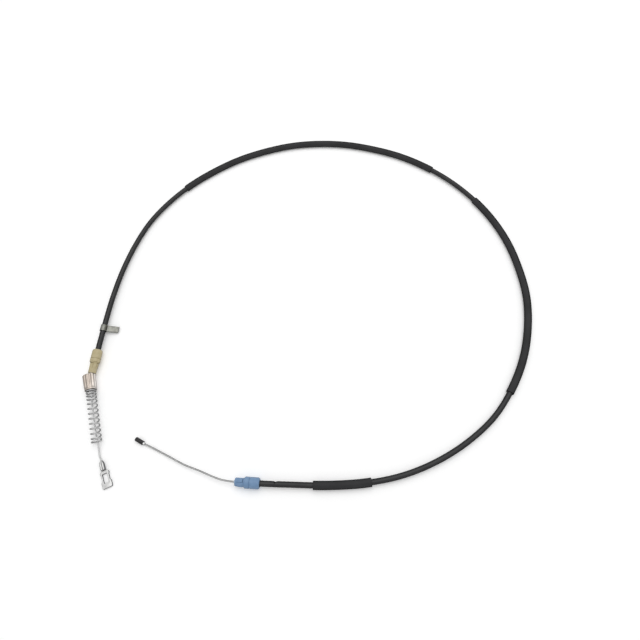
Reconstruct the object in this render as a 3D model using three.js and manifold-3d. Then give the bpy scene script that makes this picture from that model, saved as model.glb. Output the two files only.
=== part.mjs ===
// Parking brake cable: a sheathed steel rope with a moulded fitting at each end of its conduit, a barrel at the
// lever end, and a return spring with a stamped eye at the brake end. It lies on the ground as it was laid down.
// Millimetres, +Z up, origin on the ground under the middle of the whole cable.

import * as THREE from "three";
import { mergeVertices } from "three/addons/utils/BufferGeometryUtils.js";
import Module from "manifold-3d";

const wasm = await Module();
wasm.setup();

// Fits
const CLEARANCE = 0.3;

// Rope and conduit layers, from the inside out
const ROPE_RADIUS = 1.25;
const LINER_WALL = 0.4;
const ARMOUR_WALL = 0.65;
const JACKET_RADIUS = 4;
const LINER_BORE = ROPE_RADIUS + CLEARANCE;
const LINER_RADIUS = LINER_BORE + LINER_WALL;
const ARMOUR_BORE = LINER_RADIUS + CLEARANCE;
const ARMOUR_RADIUS = ARMOUR_BORE + ARMOUR_WALL;
const JACKET_BORE = ARMOUR_RADIUS + CLEARANCE;

// Protective sleeves
const SLEEVE_BORE = JACKET_RADIUS + CLEARANCE;
const SLEEVE_RADIUS = 5.55;
const FRONT_SLEEVE_RADIUS = 5.95;

// The way of the rope, from the guide tube at the brake end to the seal at the lever end. The first three points
// are on the axis of the rear connector and the last three on the axis of the front one.
const ROUTE = [
  [-333.69, -113.29, 8.6],
  [-330.11, -87.14, 8.6],
  [-328.26, -73.67, 8.6],
  [-323, -35, 8],
  [-315, 16, 7.2],
  [-303, 67, 6.6],
  [-286, 116, 6.1],
  [-263, 162, 5.7],
  [-231, 202, 5.7],
  [-193, 236, 5.6],
  [-149, 264, 5.6],
  [-102, 286, 5.6],
  [-52, 300, 5.6],
  [-1, 307, 5.6],
  [50, 305, 5.6],
  [101, 295, 5.6],
  [149, 277, 5.6],
  [195, 253, 5.6],
  [236, 222, 5.6],
  [272, 185, 5.6],
  [302, 142, 5.6],
  [324, 96, 5.6],
  [338, 46, 5.6],
  [343, -5, 5.6],
  [341, -57, 5.6],
  [329, -107, 5.6],
  [309, -155, 5.6],
  [281, -198, 5.6],
  [246, -236, 5.7],
  [204, -265, 5.8],
  [157, -287, 5.9],
  [107, -301, 6],
  [56, -306, 6],
  [4, -304, 6.1],
  [-47, -298, 7],
  [-86.5, -292.7, 7.8],
  [-98, -290.8, 7.8],
  [-116, -287.83, 7.8],
];
const STEP = 34;

// Places along the conduit, measured from the mouth of the rear connector
const CLIP_AT = 36.7;
const REAR_SLEEVE_AT = 339.1;
const REAR_SLEEVE_LENGTH = 488.8;
const SIDE_SLEEVE_AT = 925.2;
const SIDE_SLEEVE_LENGTH = 365.5;
const FRONT_SLEEVE_AT = 1531.7;
const FRONT_SLEEVE_LENGTH = 78.4;
const NICK_AT = 1658.9;
const NICK_LENGTH = 6;
const NICK_FLAT = 1;
const NICK_TILT = THREE.MathUtils.degToRad(25);

// Connectors, along their own axis from the mouth that the conduit enters to the nose
const CONDUIT_DEPTH = 13;
const FERRULE_RADIUS = 5.2;
const FERRULE_AT = 5;
const FERRULE_END_WALL = 1;
const NECK_RADIUS = 5.6;
const ROPE_PASSAGE = 2.6;
const SHOULDER_RADIUS = 6.1;
const SHOULDER_LENGTH = 1.7;
const GROOVE_WIDTH = 1.2;
const GROOVE_DEPTH = 0.7;
const EDGE_STEPS = 4;
const REAR_CONNECTOR = { length: 37.6, body: 7.25, collar: 7.35, edge: 2.7, collarAt: 15.6, shoulderAt: 20.4, fingerTurn: 14 };
const FRONT_CONNECTOR = { length: 33.5, body: 7.6, collar: 7.7, edge: 2.6, collarAt: 14, shoulderAt: 20.2, fingerTurn: 20 };

// Spring fingers cut in the neck of each connector
const FINGERS = 3;
const FINGER_WIDTH = 5;
const FINGER_LENGTH = 7.6;
const FINGER_RISE = 0.4;
const FINGER_SLOT = 0.9;
const FINGER_SLOT_DEPTH = 1.1;

// Seals that wipe the rope
const SEAL_RADIUS = 3.7;
const SEAL_LENGTH = 4;
const SEAL_LIP = 2.3;
const SEAL_LIP_LENGTH = 1.6;

// Guide tube, which carries the spring cup beyond the rear connector
const GUIDE_RADIUS = 3.9;
const GUIDE_WALL = 0.9;
const GUIDE_SEAT = 4.2;
const GUIDE_SHOWN = 2.4;
const GUIDE_IN_CUP = 4;

// Spring cup, along its own axis from its closed face to its mouth
const CUP_BEND = THREE.MathUtils.degToRad(20.8);
const CUP_SIDE_OFFSET = 3.4;
const CUP_LENGTH = 24.4;
const CUP_TOP_RADIUS = 8.75;
const CUP_MOUTH_RADIUS = 8.25;
const CUP_FLUTES = 12;
const CUP_FLUTE_DEPTH = 0.8;
const CUP_HEIGHT = CUP_TOP_RADIUS + CUP_FLUTE_DEPTH / 2;
const CUP_LIP_RADIUS = 8.2;
const CUP_LIP_LENGTH = 2.4;
const CUP_PASSAGE = 5.3;
const CUP_SEAT_DEPTH = 2.4;

// Return spring, wound left-handed, with closer coils at both ends. It leans a little in the mouth of the cup.
const SPRING_WIRE = 0.95;
const SPRING_RADIUS = 7.35;
const SPRING_TURNS = 13;
const SPRING_FIRST_TURNS = 4;
const SPRING_FIRST_PITCH = 4.1;
const SPRING_LAST_TURNS = 1.5;
const SPRING_LAST_PITCH = 4.2;
const SPRING_STEPS_A_TURN = 10;
const SPRING_SHOWN = 79.4;
const SPRING_LEAN = THREE.MathUtils.degToRad(-0.8);
const SPRING_DROOP = THREE.MathUtils.degToRad(1.4);

// Stamped eye at the brake end, along its own axis from the rope to the far bar
const EYE_AT = 105.5;
const EYE_SIDE_OFFSET = 1.7;
const EYE_TURN = THREE.MathUtils.degToRad(6.8);
const EYE_CRIMP_LENGTH = 13.7;
const EYE_CRIMP_RADIUS = 3.4;
const EYE_CRIMP_LEAD = 3;
const EYE_CRIMP_LEAD_RADIUS = 2.3;
const EYE_CRIMP_SEAM = 0.9;
const EYE_PLATE = 3;
const EYE_LENGTH = 38.3;
const EYE_TOP_BAR_AT = 14.6;
const EYE_TOP_BAR_HALF = 6.1;
const EYE_TOP_BAR = 3.7;
const EYE_SHOULDER_ROUND = 2.4;
const EYE_RAIL = 1.9;
const EYE_WINDOW_LENGTH = 13;
const EYE_WINDOW_HALF = 3.4;
const EYE_WING_AT = 28.6;
const EYE_WING_HALF = 6.8;
const EYE_WING_ROUND = 1;

// Barrel at the lever end and the sleeve swaged on the rope before it
const BARREL_START = [-250.1, -222, 3];
const BARREL_HEADING = THREE.MathUtils.degToRad(146.2);
const BARREL_RADIUS = 3;
const BARREL_LENGTH = 13.4;
const BARREL_CHAMFER = 0.7;
const BARREL_GROOVE_AT = 2.1;
const BARREL_GROOVE = 0.9;
const BARREL_GROOVE_DEPTH = 0.4;
const BARREL_BORE_DEPTH = 10;
const SWAGE_RADIUS = 1.95;
const SWAGE_SHOWN = 2.6;
const SWAGE_IN_BARREL = 1.5;

// The bare rope between the front seal and the barrel
const FRONT_ROPE = [
  [-121.6, -286.9, 7.8],
  [-137.8, -282.8, 7.3],
  [-153.6, -275.7, 6.4],
  [-168, -268.2, 5.6],
  [-190.5, -257.4, 4.6],
  [-214.5, -242.9, 3.7],
  [-237, -229.4, 3.1],
];

// Sheet metal clip on the conduit: a strip round it whose two ends lie together as a tab
const CLIP_WIDTH = 10;
const CLIP_SHEET = 0.9;
const CLIP_TAB_END = 22.3;
const CLIP_DROOP = THREE.MathUtils.degToRad(-14);

// Sides of the round sections
const ROPE_SIDES = 8;
const JACKET_SIDES = 10;
const TURNED_SIDES = 24;

const BLACK_PLASTIC = material("#1d1d1e", 0.35, 0);
const BLACK_RUBBER = material("#3c3c3e", 0.75, 0);
const STEEL = material("#8f9092", 0.4, 0.9);
const PALE_STEEL = material("#c9c8c6", 0.45, 0.8);
const DARK_STEEL = material("#2b2a2c", 0.5, 0.6);
const ZINC = material("#cfc8c0", 0.35, 0.9);
const SHEET_ZINC = material("#9a9a98", 0.5, 0.7);
const WHITE_PLASTIC = material("#dfe3e6", 0.5, 0);
const BLUE_PLASTIC = material("#6f8fb5", 0.5, 0);
const TAN_PLASTIC = material("#b5aa84", 0.55, 0);

const cable = new THREE.Group();
cable.name = "parking_brake_cable";

function material(colour, roughness, metalness) {
  return new THREE.MeshStandardMaterial({ color: colour, roughness, metalness });
}

function vector([x, y, z]) {
  return new THREE.Vector3(x, y, z);
}

// Joins and cuts: a closed geometry as a solid, and a solid as a geometry again
function solid(geometry) {
  const bare = geometry.clone();
  bare.deleteAttribute("normal");
  bare.deleteAttribute("uv");
  const merged = mergeVertices(bare, 1e-4);
  return new wasm.Manifold(
    new wasm.Mesh({
      numProp: 3,
      vertProperties: merged.attributes.position.array,
      triVerts: new Uint32Array(merged.index.array),
    }),
  );
}

function geometryOf(body) {
  const mesh = body.getMesh();
  const geometry = new THREE.BufferGeometry();
  geometry.setAttribute("position", new THREE.BufferAttribute(mesh.vertProperties, 3));
  geometry.setIndex(new THREE.BufferAttribute(mesh.triVerts, 1));
  geometry.computeVertexNormals();
  return geometry;
}

function add(parent, name, geometry, look) {
  const mesh = new THREE.Mesh(geometry, look);
  mesh.name = name;
  parent.add(mesh);
  return mesh;
}

// A polygon with its corners on the circle, or for a bore with its flats on the circle
function round(radius, sides, isBore = false) {
  const path = isBore ? new THREE.Path() : new THREE.Shape();
  path.absarc(0, 0, isBore ? radius / Math.cos(Math.PI / sides) : radius, 0, 2 * Math.PI, isBore);
  return path;
}

// A tube or rod along a path. The path gives its own rings, so nested tubes have theirs at the same places.
function tube(path, steps, radius, sides, bore = 0) {
  const section = round(radius, sides);
  if (bore > 0) section.holes.push(round(bore, sides, true));
  return new THREE.ExtrudeGeometry(section, { extrudePath: path, steps, curveSegments: sides / 2 });
}

// A turned piece about +X, from points of distance along the axis and radius. The outline closes on itself.
function turned(outline, sides = TURNED_SIDES) {
  const points = outline.map(([along, radius]) => new THREE.Vector2(radius, along));
  points.push(points[0].clone());
  const lathe = new THREE.LatheGeometry(points, sides);
  lathe.rotateZ(-Math.PI / 2);
  return lathe;
}

// A box given by its extents along X, Y and Z
function block([x0, x1], [y0, y1], [z0, z1]) {
  const box = new THREE.BoxGeometry(x1 - x0, y1 - y0, z1 - z0);
  return box.translate((x0 + x1) / 2, (y0 + y1) / 2, (z0 + z1) / 2);
}

// A stretch of a longer curve, with rings at given distances along it
class Stretch extends THREE.Curve {
  constructor(curve, stations) {
    super();
    this.curve = curve;
    this.stations = stations;
    this.total = curve.getLength();
  }
  shareAt(t) {
    const place = t * (this.stations.length - 1);
    const index = Math.min(Math.floor(place), this.stations.length - 2);
    const [before, after] = this.stations.slice(index, index + 2);
    return THREE.MathUtils.clamp((before + (after - before) * (place - index)) / this.total, 0, 1);
  }
  getPoint(t, target = new THREE.Vector3()) {
    return target.copy(this.curve.getPointAt(this.shareAt(t)));
  }
  getPointAt(u, target) {
    return this.getPoint(u, target);
  }
  getTangentAt(u, target = new THREE.Vector3()) {
    return target.copy(this.curve.getTangentAt(this.shareAt(u)));
  }
}

// The whole route, with the marks where a piece on it starts or ends
const route = new THREE.CatmullRomCurve3(ROUTE.map(vector), false, "centripetal");
route.arcLengthDivisions = 4000;
const ROUTE_LENGTH = route.getLength();
const REAR_MOUTH = vector(ROUTE[2]);
const FRONT_MOUTH = vector(ROUTE[ROUTE.length - 3]);
const REAR_MOUTH_AT = vector(ROUTE[0]).distanceTo(REAR_MOUTH);
const FRONT_MOUTH_AT = ROUTE_LENGTH - FRONT_MOUTH.distanceTo(vector(ROUTE[ROUTE.length - 1]));
const CONDUIT_START = REAR_MOUTH_AT - CONDUIT_DEPTH;
const CONDUIT_END = FRONT_MOUTH_AT + CONDUIT_DEPTH;
const LINER_START = CONDUIT_START - 2 * CLEARANCE - FERRULE_END_WALL;
const LINER_END = CONDUIT_END + 2 * CLEARANCE + FERRULE_END_WALL;

const SLEEVES = [
  { name: "rear_sleeve", at: REAR_SLEEVE_AT, length: REAR_SLEEVE_LENGTH, radius: SLEEVE_RADIUS },
  { name: "side_sleeve", at: SIDE_SLEEVE_AT, length: SIDE_SLEEVE_LENGTH, radius: SLEEVE_RADIUS },
  { name: "front_sleeve", at: FRONT_SLEEVE_AT, length: FRONT_SLEEVE_LENGTH, radius: FRONT_SLEEVE_RADIUS },
];

function ringPlaces() {
  const ends = [0, LINER_START, CONDUIT_START, CONDUIT_END, LINER_END, ROUTE_LENGTH];
  const marks = [...ends, REAR_MOUTH_AT, FRONT_MOUTH_AT];
  for (const sleeve of SLEEVES) {
    marks.push(REAR_MOUTH_AT + sleeve.at, REAR_MOUTH_AT + sleeve.at + sleeve.length);
  }
  marks.sort((a, b) => a - b);
  const places = [marks[0]];
  for (const mark of marks.slice(1)) {
    const from = places[places.length - 1];
    const parts = Math.ceil((mark - from) / STEP);
    for (let i = 1; i <= parts; i += 1) places.push(from + ((mark - from) * i) / parts);
  }
  return places;
}
const RINGS = ringPlaces();

function routeTube(from, to, radius, sides, bore = 0) {
  const inside = RINGS.filter((place) => place > from + CLEARANCE && place < to - CLEARANCE);
  const stations = [from, ...inside, to];
  return tube(new Stretch(route, stations), stations.length - 1, radius, sides, bore);
}

// Nick in the conduit, through jacket and armour down to the liner, in the side that looks into the loop and up.
// Its end towards the front connector is steep, and the other slopes out.
function nickCutter() {
  const at = route.getPointAt((REAR_MOUTH_AT + NICK_AT) / ROUTE_LENGTH);
  const along = route.getTangentAt((REAR_MOUTH_AT + NICK_AT) / ROUTE_LENGTH);
  const wedge = new THREE.Shape();
  const floor = LINER_RADIUS + CLEARANCE / 2;
  const top = JACKET_RADIUS + 1;
  wedge.moveTo(-NICK_LENGTH / 2, top);
  wedge.lineTo(-NICK_LENGTH / 2, floor);
  wedge.lineTo(-NICK_LENGTH / 2 + NICK_FLAT, floor);
  wedge.lineTo(NICK_LENGTH / 2, JACKET_RADIUS);
  wedge.lineTo(NICK_LENGTH / 2, top);
  const cutter = new THREE.ExtrudeGeometry(wedge, { depth: 2 * top, bevelEnabled: false });
  cutter.translate(0, 0, -top);
  cutter.rotateX(NICK_TILT);
  cutter.rotateZ(Math.atan2(along.y, along.x) + Math.PI);
  cutter.translate(at.x, at.y, at.z);
  return solid(cutter);
}

function buildConduit() {
  const nick = nickCutter();
  const jacket = solid(routeTube(CONDUIT_START, CONDUIT_END, JACKET_RADIUS, JACKET_SIDES, JACKET_BORE));
  const armour = solid(routeTube(CONDUIT_START, CONDUIT_END, ARMOUR_RADIUS, ROPE_SIDES, ARMOUR_BORE));
  add(cable, "conduit_jacket", geometryOf(jacket.subtract(nick)), BLACK_PLASTIC);
  add(cable, "conduit_armour", geometryOf(armour.subtract(nick)), STEEL);
  add(cable, "conduit_liner", routeTube(LINER_START, LINER_END, LINER_RADIUS, ROPE_SIDES, LINER_BORE), WHITE_PLASTIC);
  add(cable, "inner_rope", routeTube(0, ROUTE_LENGTH, ROPE_RADIUS, ROPE_SIDES), STEEL);
}

function buildSleeves() {
  for (const { name, at, length, radius } of SLEEVES) {
    const from = REAR_MOUTH_AT + at;
    add(cable, name, routeTube(from, from + length, radius, JACKET_SIDES, SLEEVE_BORE), BLACK_RUBBER);
  }
}

// Frames: a group whose +X runs from a point along a level heading
function frameAt(point, heading) {
  const frame = new THREE.Group();
  frame.position.copy(point);
  frame.rotation.z = heading;
  cable.add(frame);
  return frame;
}

function headingFrom(a, b) {
  return Math.atan2(b.y - a.y, b.x - a.x);
}

// One moulded connector: rounded mouth, groove, collar, shoulder and a neck with spring fingers
function connectorOutline({ length, body, collar, edge, collarAt, shoulderAt }, nosePocket, pocketDepth) {
  const pocket = FERRULE_RADIUS + CLEARANCE;
  const pocketStart = FERRULE_AT - CLEARANCE;
  const pocketEnd = CONDUIT_DEPTH + 2 * CLEARANCE + FERRULE_END_WALL + CLEARANCE;
  const outline = [[0, SLEEVE_BORE]];
  for (let i = 0; i <= EDGE_STEPS; i += 1) {
    const turn = (i / EDGE_STEPS) * (Math.PI / 2);
    outline.push([edge * (1 - Math.cos(turn)), body - edge * (1 - Math.sin(turn))]);
  }
  outline.push([collarAt - GROOVE_WIDTH, body]);
  outline.push([collarAt - GROOVE_WIDTH, body - GROOVE_DEPTH]);
  outline.push([collarAt, body - GROOVE_DEPTH]);
  outline.push([collarAt, collar]);
  outline.push([shoulderAt, collar]);
  outline.push([shoulderAt, SHOULDER_RADIUS]);
  outline.push([shoulderAt + SHOULDER_LENGTH, SHOULDER_RADIUS]);
  outline.push([shoulderAt + SHOULDER_LENGTH, NECK_RADIUS]);
  outline.push([length - CLEARANCE, NECK_RADIUS]);
  outline.push([length, NECK_RADIUS - CLEARANCE]);
  outline.push([length, nosePocket]);
  outline.push([length - pocketDepth, nosePocket]);
  outline.push([length - pocketDepth, ROPE_PASSAGE]);
  outline.push([pocketEnd, ROPE_PASSAGE]);
  outline.push([pocketEnd, pocket]);
  outline.push([pocketStart, pocket]);
  outline.push([pocketStart, SLEEVE_BORE]);
  return outline;
}

function fingerSlots(start) {
  const end = start + FINGER_SLOT + FINGER_LENGTH;
  const half = FINGER_WIDTH / 2;
  const depth = [NECK_RADIUS - FINGER_SLOT_DEPTH, NECK_RADIUS + 1];
  return [
    block([start, start + FINGER_SLOT], [-half - FINGER_SLOT, half + FINGER_SLOT], depth),
    block([start, end], [-half - FINGER_SLOT, -half], depth),
    block([start, end], [half, half + FINGER_SLOT], depth),
  ];
}

function fingerCatch(start) {
  const free = start + FINGER_SLOT;
  const side = new THREE.Shape();
  side.moveTo(free, NECK_RADIUS - FINGER_SLOT_DEPTH);
  side.lineTo(free, NECK_RADIUS + FINGER_RISE - 0.3);
  side.lineTo(free + 1, NECK_RADIUS + FINGER_RISE);
  side.lineTo(free + FINGER_LENGTH, NECK_RADIUS - FINGER_SLOT_DEPTH + 0.2);
  const wedge = new THREE.ExtrudeGeometry(side, { depth: FINGER_WIDTH - 0.2, bevelEnabled: false });
  wedge.translate(0, 0, -(FINGER_WIDTH - 0.2) / 2);
  return wedge.rotateX(Math.PI / 2);
}

function connector(dims, nosePocket, pocketDepth) {
  let body = solid(turned(connectorOutline(dims, nosePocket, pocketDepth)));
  const start = dims.shoulderAt + SHOULDER_LENGTH;
  for (let i = 0; i < FINGERS; i += 1) {
    const turn = THREE.MathUtils.degToRad(dims.fingerTurn) + (i * 2 * Math.PI) / FINGERS;
    for (const slot of fingerSlots(start)) body = body.subtract(solid(slot.rotateX(turn)));
    body = body.add(solid(fingerCatch(start).rotateX(turn)));
  }
  return geometryOf(body);
}

function ferrule() {
  const inner = SLEEVE_BORE;
  const wallAt = CONDUIT_DEPTH + CLEARANCE;
  const end = wallAt + FERRULE_END_WALL;
  const hole = LINER_RADIUS + CLEARANCE;
  return turned([
    [FERRULE_AT, inner],
    [FERRULE_AT, FERRULE_RADIUS],
    [end, FERRULE_RADIUS],
    [end, hole],
    [wallAt, hole],
    [wallAt, inner],
  ]);
}

function wiperSeal(start, radius, lip) {
  const bore = ROPE_RADIUS + CLEARANCE;
  const outline = [
    [start, bore],
    [start, radius],
    [start + SEAL_LENGTH, radius],
  ];
  if (lip) outline.push([start + SEAL_LENGTH, SEAL_LIP + 0.5], [start + SEAL_LENGTH + SEAL_LIP_LENGTH, SEAL_LIP]);
  outline.push([start + SEAL_LENGTH + (lip ? SEAL_LIP_LENGTH : 0), bore]);
  return turned(outline);
}

function buildFrontConnector() {
  const nose = vector(ROUTE[ROUTE.length - 1]);
  const frame = frameAt(FRONT_MOUTH, headingFrom(FRONT_MOUTH, nose));
  const pocketDepth = SEAL_LENGTH + CLEARANCE;
  add(frame, "front_connector", connector(FRONT_CONNECTOR, SEAL_RADIUS + CLEARANCE, pocketDepth), BLUE_PLASTIC);
  add(frame, "front_ferrule", ferrule(), STEEL);
  add(frame, "front_wiper_seal", wiperSeal(FRONT_CONNECTOR.length - SEAL_LENGTH, SEAL_RADIUS, true), WHITE_PLASTIC);
}

// Rear end: connector, guide tube, spring cup, spring and eye
const REAR_HEADING = headingFrom(REAR_MOUTH, vector(ROUTE[0]));
const CUP_HEADING = REAR_HEADING + CUP_BEND;
const SPRING_HEADING = CUP_HEADING + SPRING_LEAN;

function along(point, heading, forward, left = 0) {
  const x = Math.cos(heading) * forward - Math.sin(heading) * left;
  const y = Math.sin(heading) * forward + Math.cos(heading) * left;
  return new THREE.Vector3(point.x + x, point.y + y, point.z);
}

function cupTop() {
  const meets = along(REAR_MOUTH, REAR_HEADING, REAR_CONNECTOR.length + GUIDE_SHOWN);
  const top = along(meets, CUP_HEADING, 0, -CUP_SIDE_OFFSET);
  top.z = CUP_HEIGHT;
  return top;
}

function guideTube() {
  const start = REAR_CONNECTOR.length - GUIDE_SEAT;
  const end = REAR_CONNECTOR.length + GUIDE_SHOWN + GUIDE_IN_CUP;
  const bore = GUIDE_RADIUS - GUIDE_WALL;
  return turned([
    [start, bore],
    [start, GUIDE_RADIUS],
    [end, GUIDE_RADIUS],
    [end, bore],
  ]);
}

function buildRearConnector() {
  const frame = frameAt(REAR_MOUTH, REAR_HEADING);
  const pocketDepth = GUIDE_SEAT + CLEARANCE;
  const sealStart = REAR_CONNECTOR.length - GUIDE_SEAT + CLEARANCE;
  const sealRadius = GUIDE_RADIUS - GUIDE_WALL - CLEARANCE;
  add(frame, "rear_connector", connector(REAR_CONNECTOR, GUIDE_RADIUS + CLEARANCE, pocketDepth), TAN_PLASTIC);
  add(frame, "rear_ferrule", ferrule(), STEEL);
  add(frame, "guide_tube", guideTube(), ZINC);
  add(frame, "rear_wiper_seal", wiperSeal(sealStart, sealRadius, false), BLACK_RUBBER);
}

// The fluted outside of the cup is one scalloped outline, drawn out and narrowed towards the mouth
function flutedOutline() {
  const shape = new THREE.Shape();
  const points = 6 * CUP_FLUTES;
  for (let i = 0; i < points; i += 1) {
    const angle = (i / points) * 2 * Math.PI;
    const radius = CUP_TOP_RADIUS + (CUP_FLUTE_DEPTH / 2) * Math.cos(CUP_FLUTES * angle);
    if (i === 0) shape.moveTo(radius, 0);
    else shape.lineTo(radius * Math.cos(angle), radius * Math.sin(angle));
  }
  shape.closePath();
  return shape;
}

function flutedCone() {
  const depth = CUP_LENGTH - CUP_LIP_LENGTH;
  const cone = new THREE.ExtrudeGeometry(flutedOutline(), { depth, steps: 1, bevelEnabled: false });
  const places = cone.attributes.position;
  for (let i = 0; i < places.count; i += 1) {
    const share = places.getZ(i) / depth;
    const scale = THREE.MathUtils.lerp(1, CUP_MOUTH_RADIUS / CUP_TOP_RADIUS, share);
    places.setXY(i, places.getX(i) * scale, places.getY(i) * scale);
  }
  return cone.rotateY(Math.PI / 2);
}

function springCup() {
  const lipAt = CUP_LENGTH - 2 * CUP_LIP_LENGTH;
  const seat = SPRING_RADIUS + CLEARANCE;
  const lip = turned([
    [lipAt, seat - 1],
    [lipAt, CUP_LIP_RADIUS],
    [CUP_LENGTH, CUP_LIP_RADIUS],
    [CUP_LENGTH, seat - 1],
  ]);
  const hollow = turned([
    [-1, 0],
    [-1, CUP_PASSAGE],
    [CUP_LENGTH - CUP_SEAT_DEPTH, CUP_PASSAGE],
    [CUP_LENGTH - CUP_SEAT_DEPTH, seat],
    [CUP_LENGTH + 1, seat],
    [CUP_LENGTH + 1, 0],
  ]);
  return solid(flutedCone()).add(solid(lip)).subtract(solid(hollow));
}

// The socket that the guide tube enters, drawn in the frame of the cup
function guideSocket(top) {
  const start = along(REAR_MOUTH, REAR_HEADING, REAR_CONNECTOR.length);
  const length = GUIDE_SHOWN + GUIDE_IN_CUP + CLEARANCE;
  const bore = GUIDE_RADIUS + CLEARANCE;
  const socket = turned([
    [-1, 0],
    [-1, bore],
    [length, bore],
    [length, 0],
  ]);
  socket.rotateZ(-CUP_BEND);
  const offset = start.sub(top).applyAxisAngle(new THREE.Vector3(0, 0, 1), -CUP_HEADING);
  return solid(socket.translate(offset.x, offset.y, offset.z));
}

// Centre line of the spring: closer coils, open coils, closer coils
class Coil extends THREE.Curve {
  constructor(start, end) {
    super();
    this.start = start;
    this.end = end;
  }
  getPoint(t, target = new THREE.Vector3()) {
    const turns = t * SPRING_TURNS;
    const open = SPRING_TURNS - SPRING_FIRST_TURNS - SPRING_LAST_TURNS;
    const closeLength = SPRING_FIRST_TURNS * SPRING_FIRST_PITCH + SPRING_LAST_TURNS * SPRING_LAST_PITCH;
    const openPitch = (this.end - this.start - closeLength) / open;
    const first = Math.min(turns, SPRING_FIRST_TURNS);
    const middle = THREE.MathUtils.clamp(turns - SPRING_FIRST_TURNS, 0, open);
    const last = Math.max(turns - SPRING_FIRST_TURNS - open, 0);
    const x = this.start + first * SPRING_FIRST_PITCH + middle * openPitch + last * SPRING_LAST_PITCH;
    const radius = SPRING_RADIUS - SPRING_WIRE;
    const angle = -2 * Math.PI * turns;
    return target.set(x, radius * Math.cos(angle), radius * Math.sin(angle));
  }
  getPointAt(u, target) {
    return this.getPoint(u, target);
  }
}

// The spring starts in its seat, just behind the mouth of the cup
function returnSpring() {
  const start = CLEARANCE + SPRING_WIRE - CUP_SEAT_DEPTH;
  const coil = new Coil(start, SPRING_SHOWN - SPRING_WIRE);
  const wound = tube(coil, SPRING_TURNS * SPRING_STEPS_A_TURN, SPRING_WIRE, 6);
  return wound.translate(-start, 0, 0).rotateY(SPRING_DROOP).translate(start, 0, 0);
}

// The eye's flat frame: top bar with round shoulders, window, rails and a far bar with a wing on each side
function eyeFrameShape() {
  const rail = EYE_WINDOW_HALF + EYE_RAIL;
  const topStart = EYE_TOP_BAR_AT;
  const windowStart = topStart + EYE_TOP_BAR;
  const neck = EYE_CRIMP_RADIUS - CLEARANCE;
  const shape = new THREE.Shape();
  const half = [
    [topStart - EYE_SHOULDER_ROUND, neck - 1],
    [topStart, neck],
    [topStart, EYE_TOP_BAR_HALF - EYE_SHOULDER_ROUND],
  ];
  const wing = [
    [windowStart, EYE_TOP_BAR_HALF],
    [windowStart + 2 * EYE_WING_ROUND, rail],
    [EYE_WING_AT, rail],
    [EYE_WING_AT, EYE_WING_HALF - EYE_WING_ROUND],
    [EYE_WING_AT + EYE_WING_ROUND, EYE_WING_HALF],
    [EYE_LENGTH - EYE_WING_ROUND, EYE_WING_HALF],
    [EYE_LENGTH, EYE_WING_HALF - EYE_WING_ROUND],
  ];
  const corner = [];
  for (const turn of [Math.PI / 6, Math.PI / 3, Math.PI / 2]) {
    const x = topStart + EYE_SHOULDER_ROUND * (1 - Math.cos(turn));
    const y = EYE_TOP_BAR_HALF - EYE_SHOULDER_ROUND * (1 - Math.sin(turn));
    corner.push([x, y]);
  }
  const left = [...half, ...corner, ...wing];
  const right = left.map(([x, y]) => [x, -y]).reverse();
  shape.setFromPoints([...left, ...right].map(([x, y]) => new THREE.Vector2(x, y)));
  const hole = new THREE.Path();
  hole.moveTo(windowStart, -EYE_WINDOW_HALF);
  hole.lineTo(windowStart + EYE_WINDOW_LENGTH, -EYE_WINDOW_HALF);
  hole.lineTo(windowStart + EYE_WINDOW_LENGTH, EYE_WINDOW_HALF);
  hole.lineTo(windowStart, EYE_WINDOW_HALF);
  hole.closePath();
  shape.holes.push(hole);
  return shape;
}

function rearEye() {
  const bore = ROPE_RADIUS + CLEARANCE;
  const boreEnd = EYE_CRIMP_LENGTH - 1.5;
  const crimp = turned([
    [0, 0],
    [0, EYE_CRIMP_LEAD_RADIUS],
    [EYE_CRIMP_LEAD, EYE_CRIMP_RADIUS],
    [EYE_CRIMP_LENGTH, EYE_CRIMP_RADIUS],
    [EYE_CRIMP_LENGTH, 0],
  ]);
  const hollow = turned([
    [-1, 0],
    [-1, bore],
    [boreEnd, bore],
    [boreEnd, 0],
  ]);
  crimp.translate(0, 0, EYE_CRIMP_RADIUS);
  hollow.translate(0, 0, EYE_CRIMP_RADIUS);
  const seam = block(
    [EYE_CRIMP_LEAD, EYE_CRIMP_LENGTH - 1],
    [-EYE_CRIMP_SEAM / 2, EYE_CRIMP_SEAM / 2],
    [2 * EYE_CRIMP_RADIUS - EYE_CRIMP_SEAM, 2 * EYE_CRIMP_RADIUS + 1],
  );
  const frame = new THREE.ExtrudeGeometry(eyeFrameShape(), { depth: EYE_PLATE, bevelEnabled: false });
  return solid(crimp).add(solid(frame)).subtract(solid(seam)).subtract(solid(hollow));
}

function buildRearEnd() {
  const top = cupTop();
  const mouth = along(top, CUP_HEADING, CUP_LENGTH);
  const cupFrame = frameAt(top, CUP_HEADING);
  const springFrame = frameAt(mouth, SPRING_HEADING);
  add(cupFrame, "spring_cup", geometryOf(springCup().subtract(guideSocket(top))), ZINC);
  add(springFrame, "return_spring", returnSpring(), STEEL);
  const eyeStart = along(mouth, SPRING_HEADING, EYE_AT, EYE_SIDE_OFFSET);
  const eyeFrame = frameAt(eyeStart.setZ(0), SPRING_HEADING + EYE_TURN);
  add(eyeFrame, "rear_eye", geometryOf(rearEye()), PALE_STEEL);
  buildRearRope(top, mouth, eyeStart);
}

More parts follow.
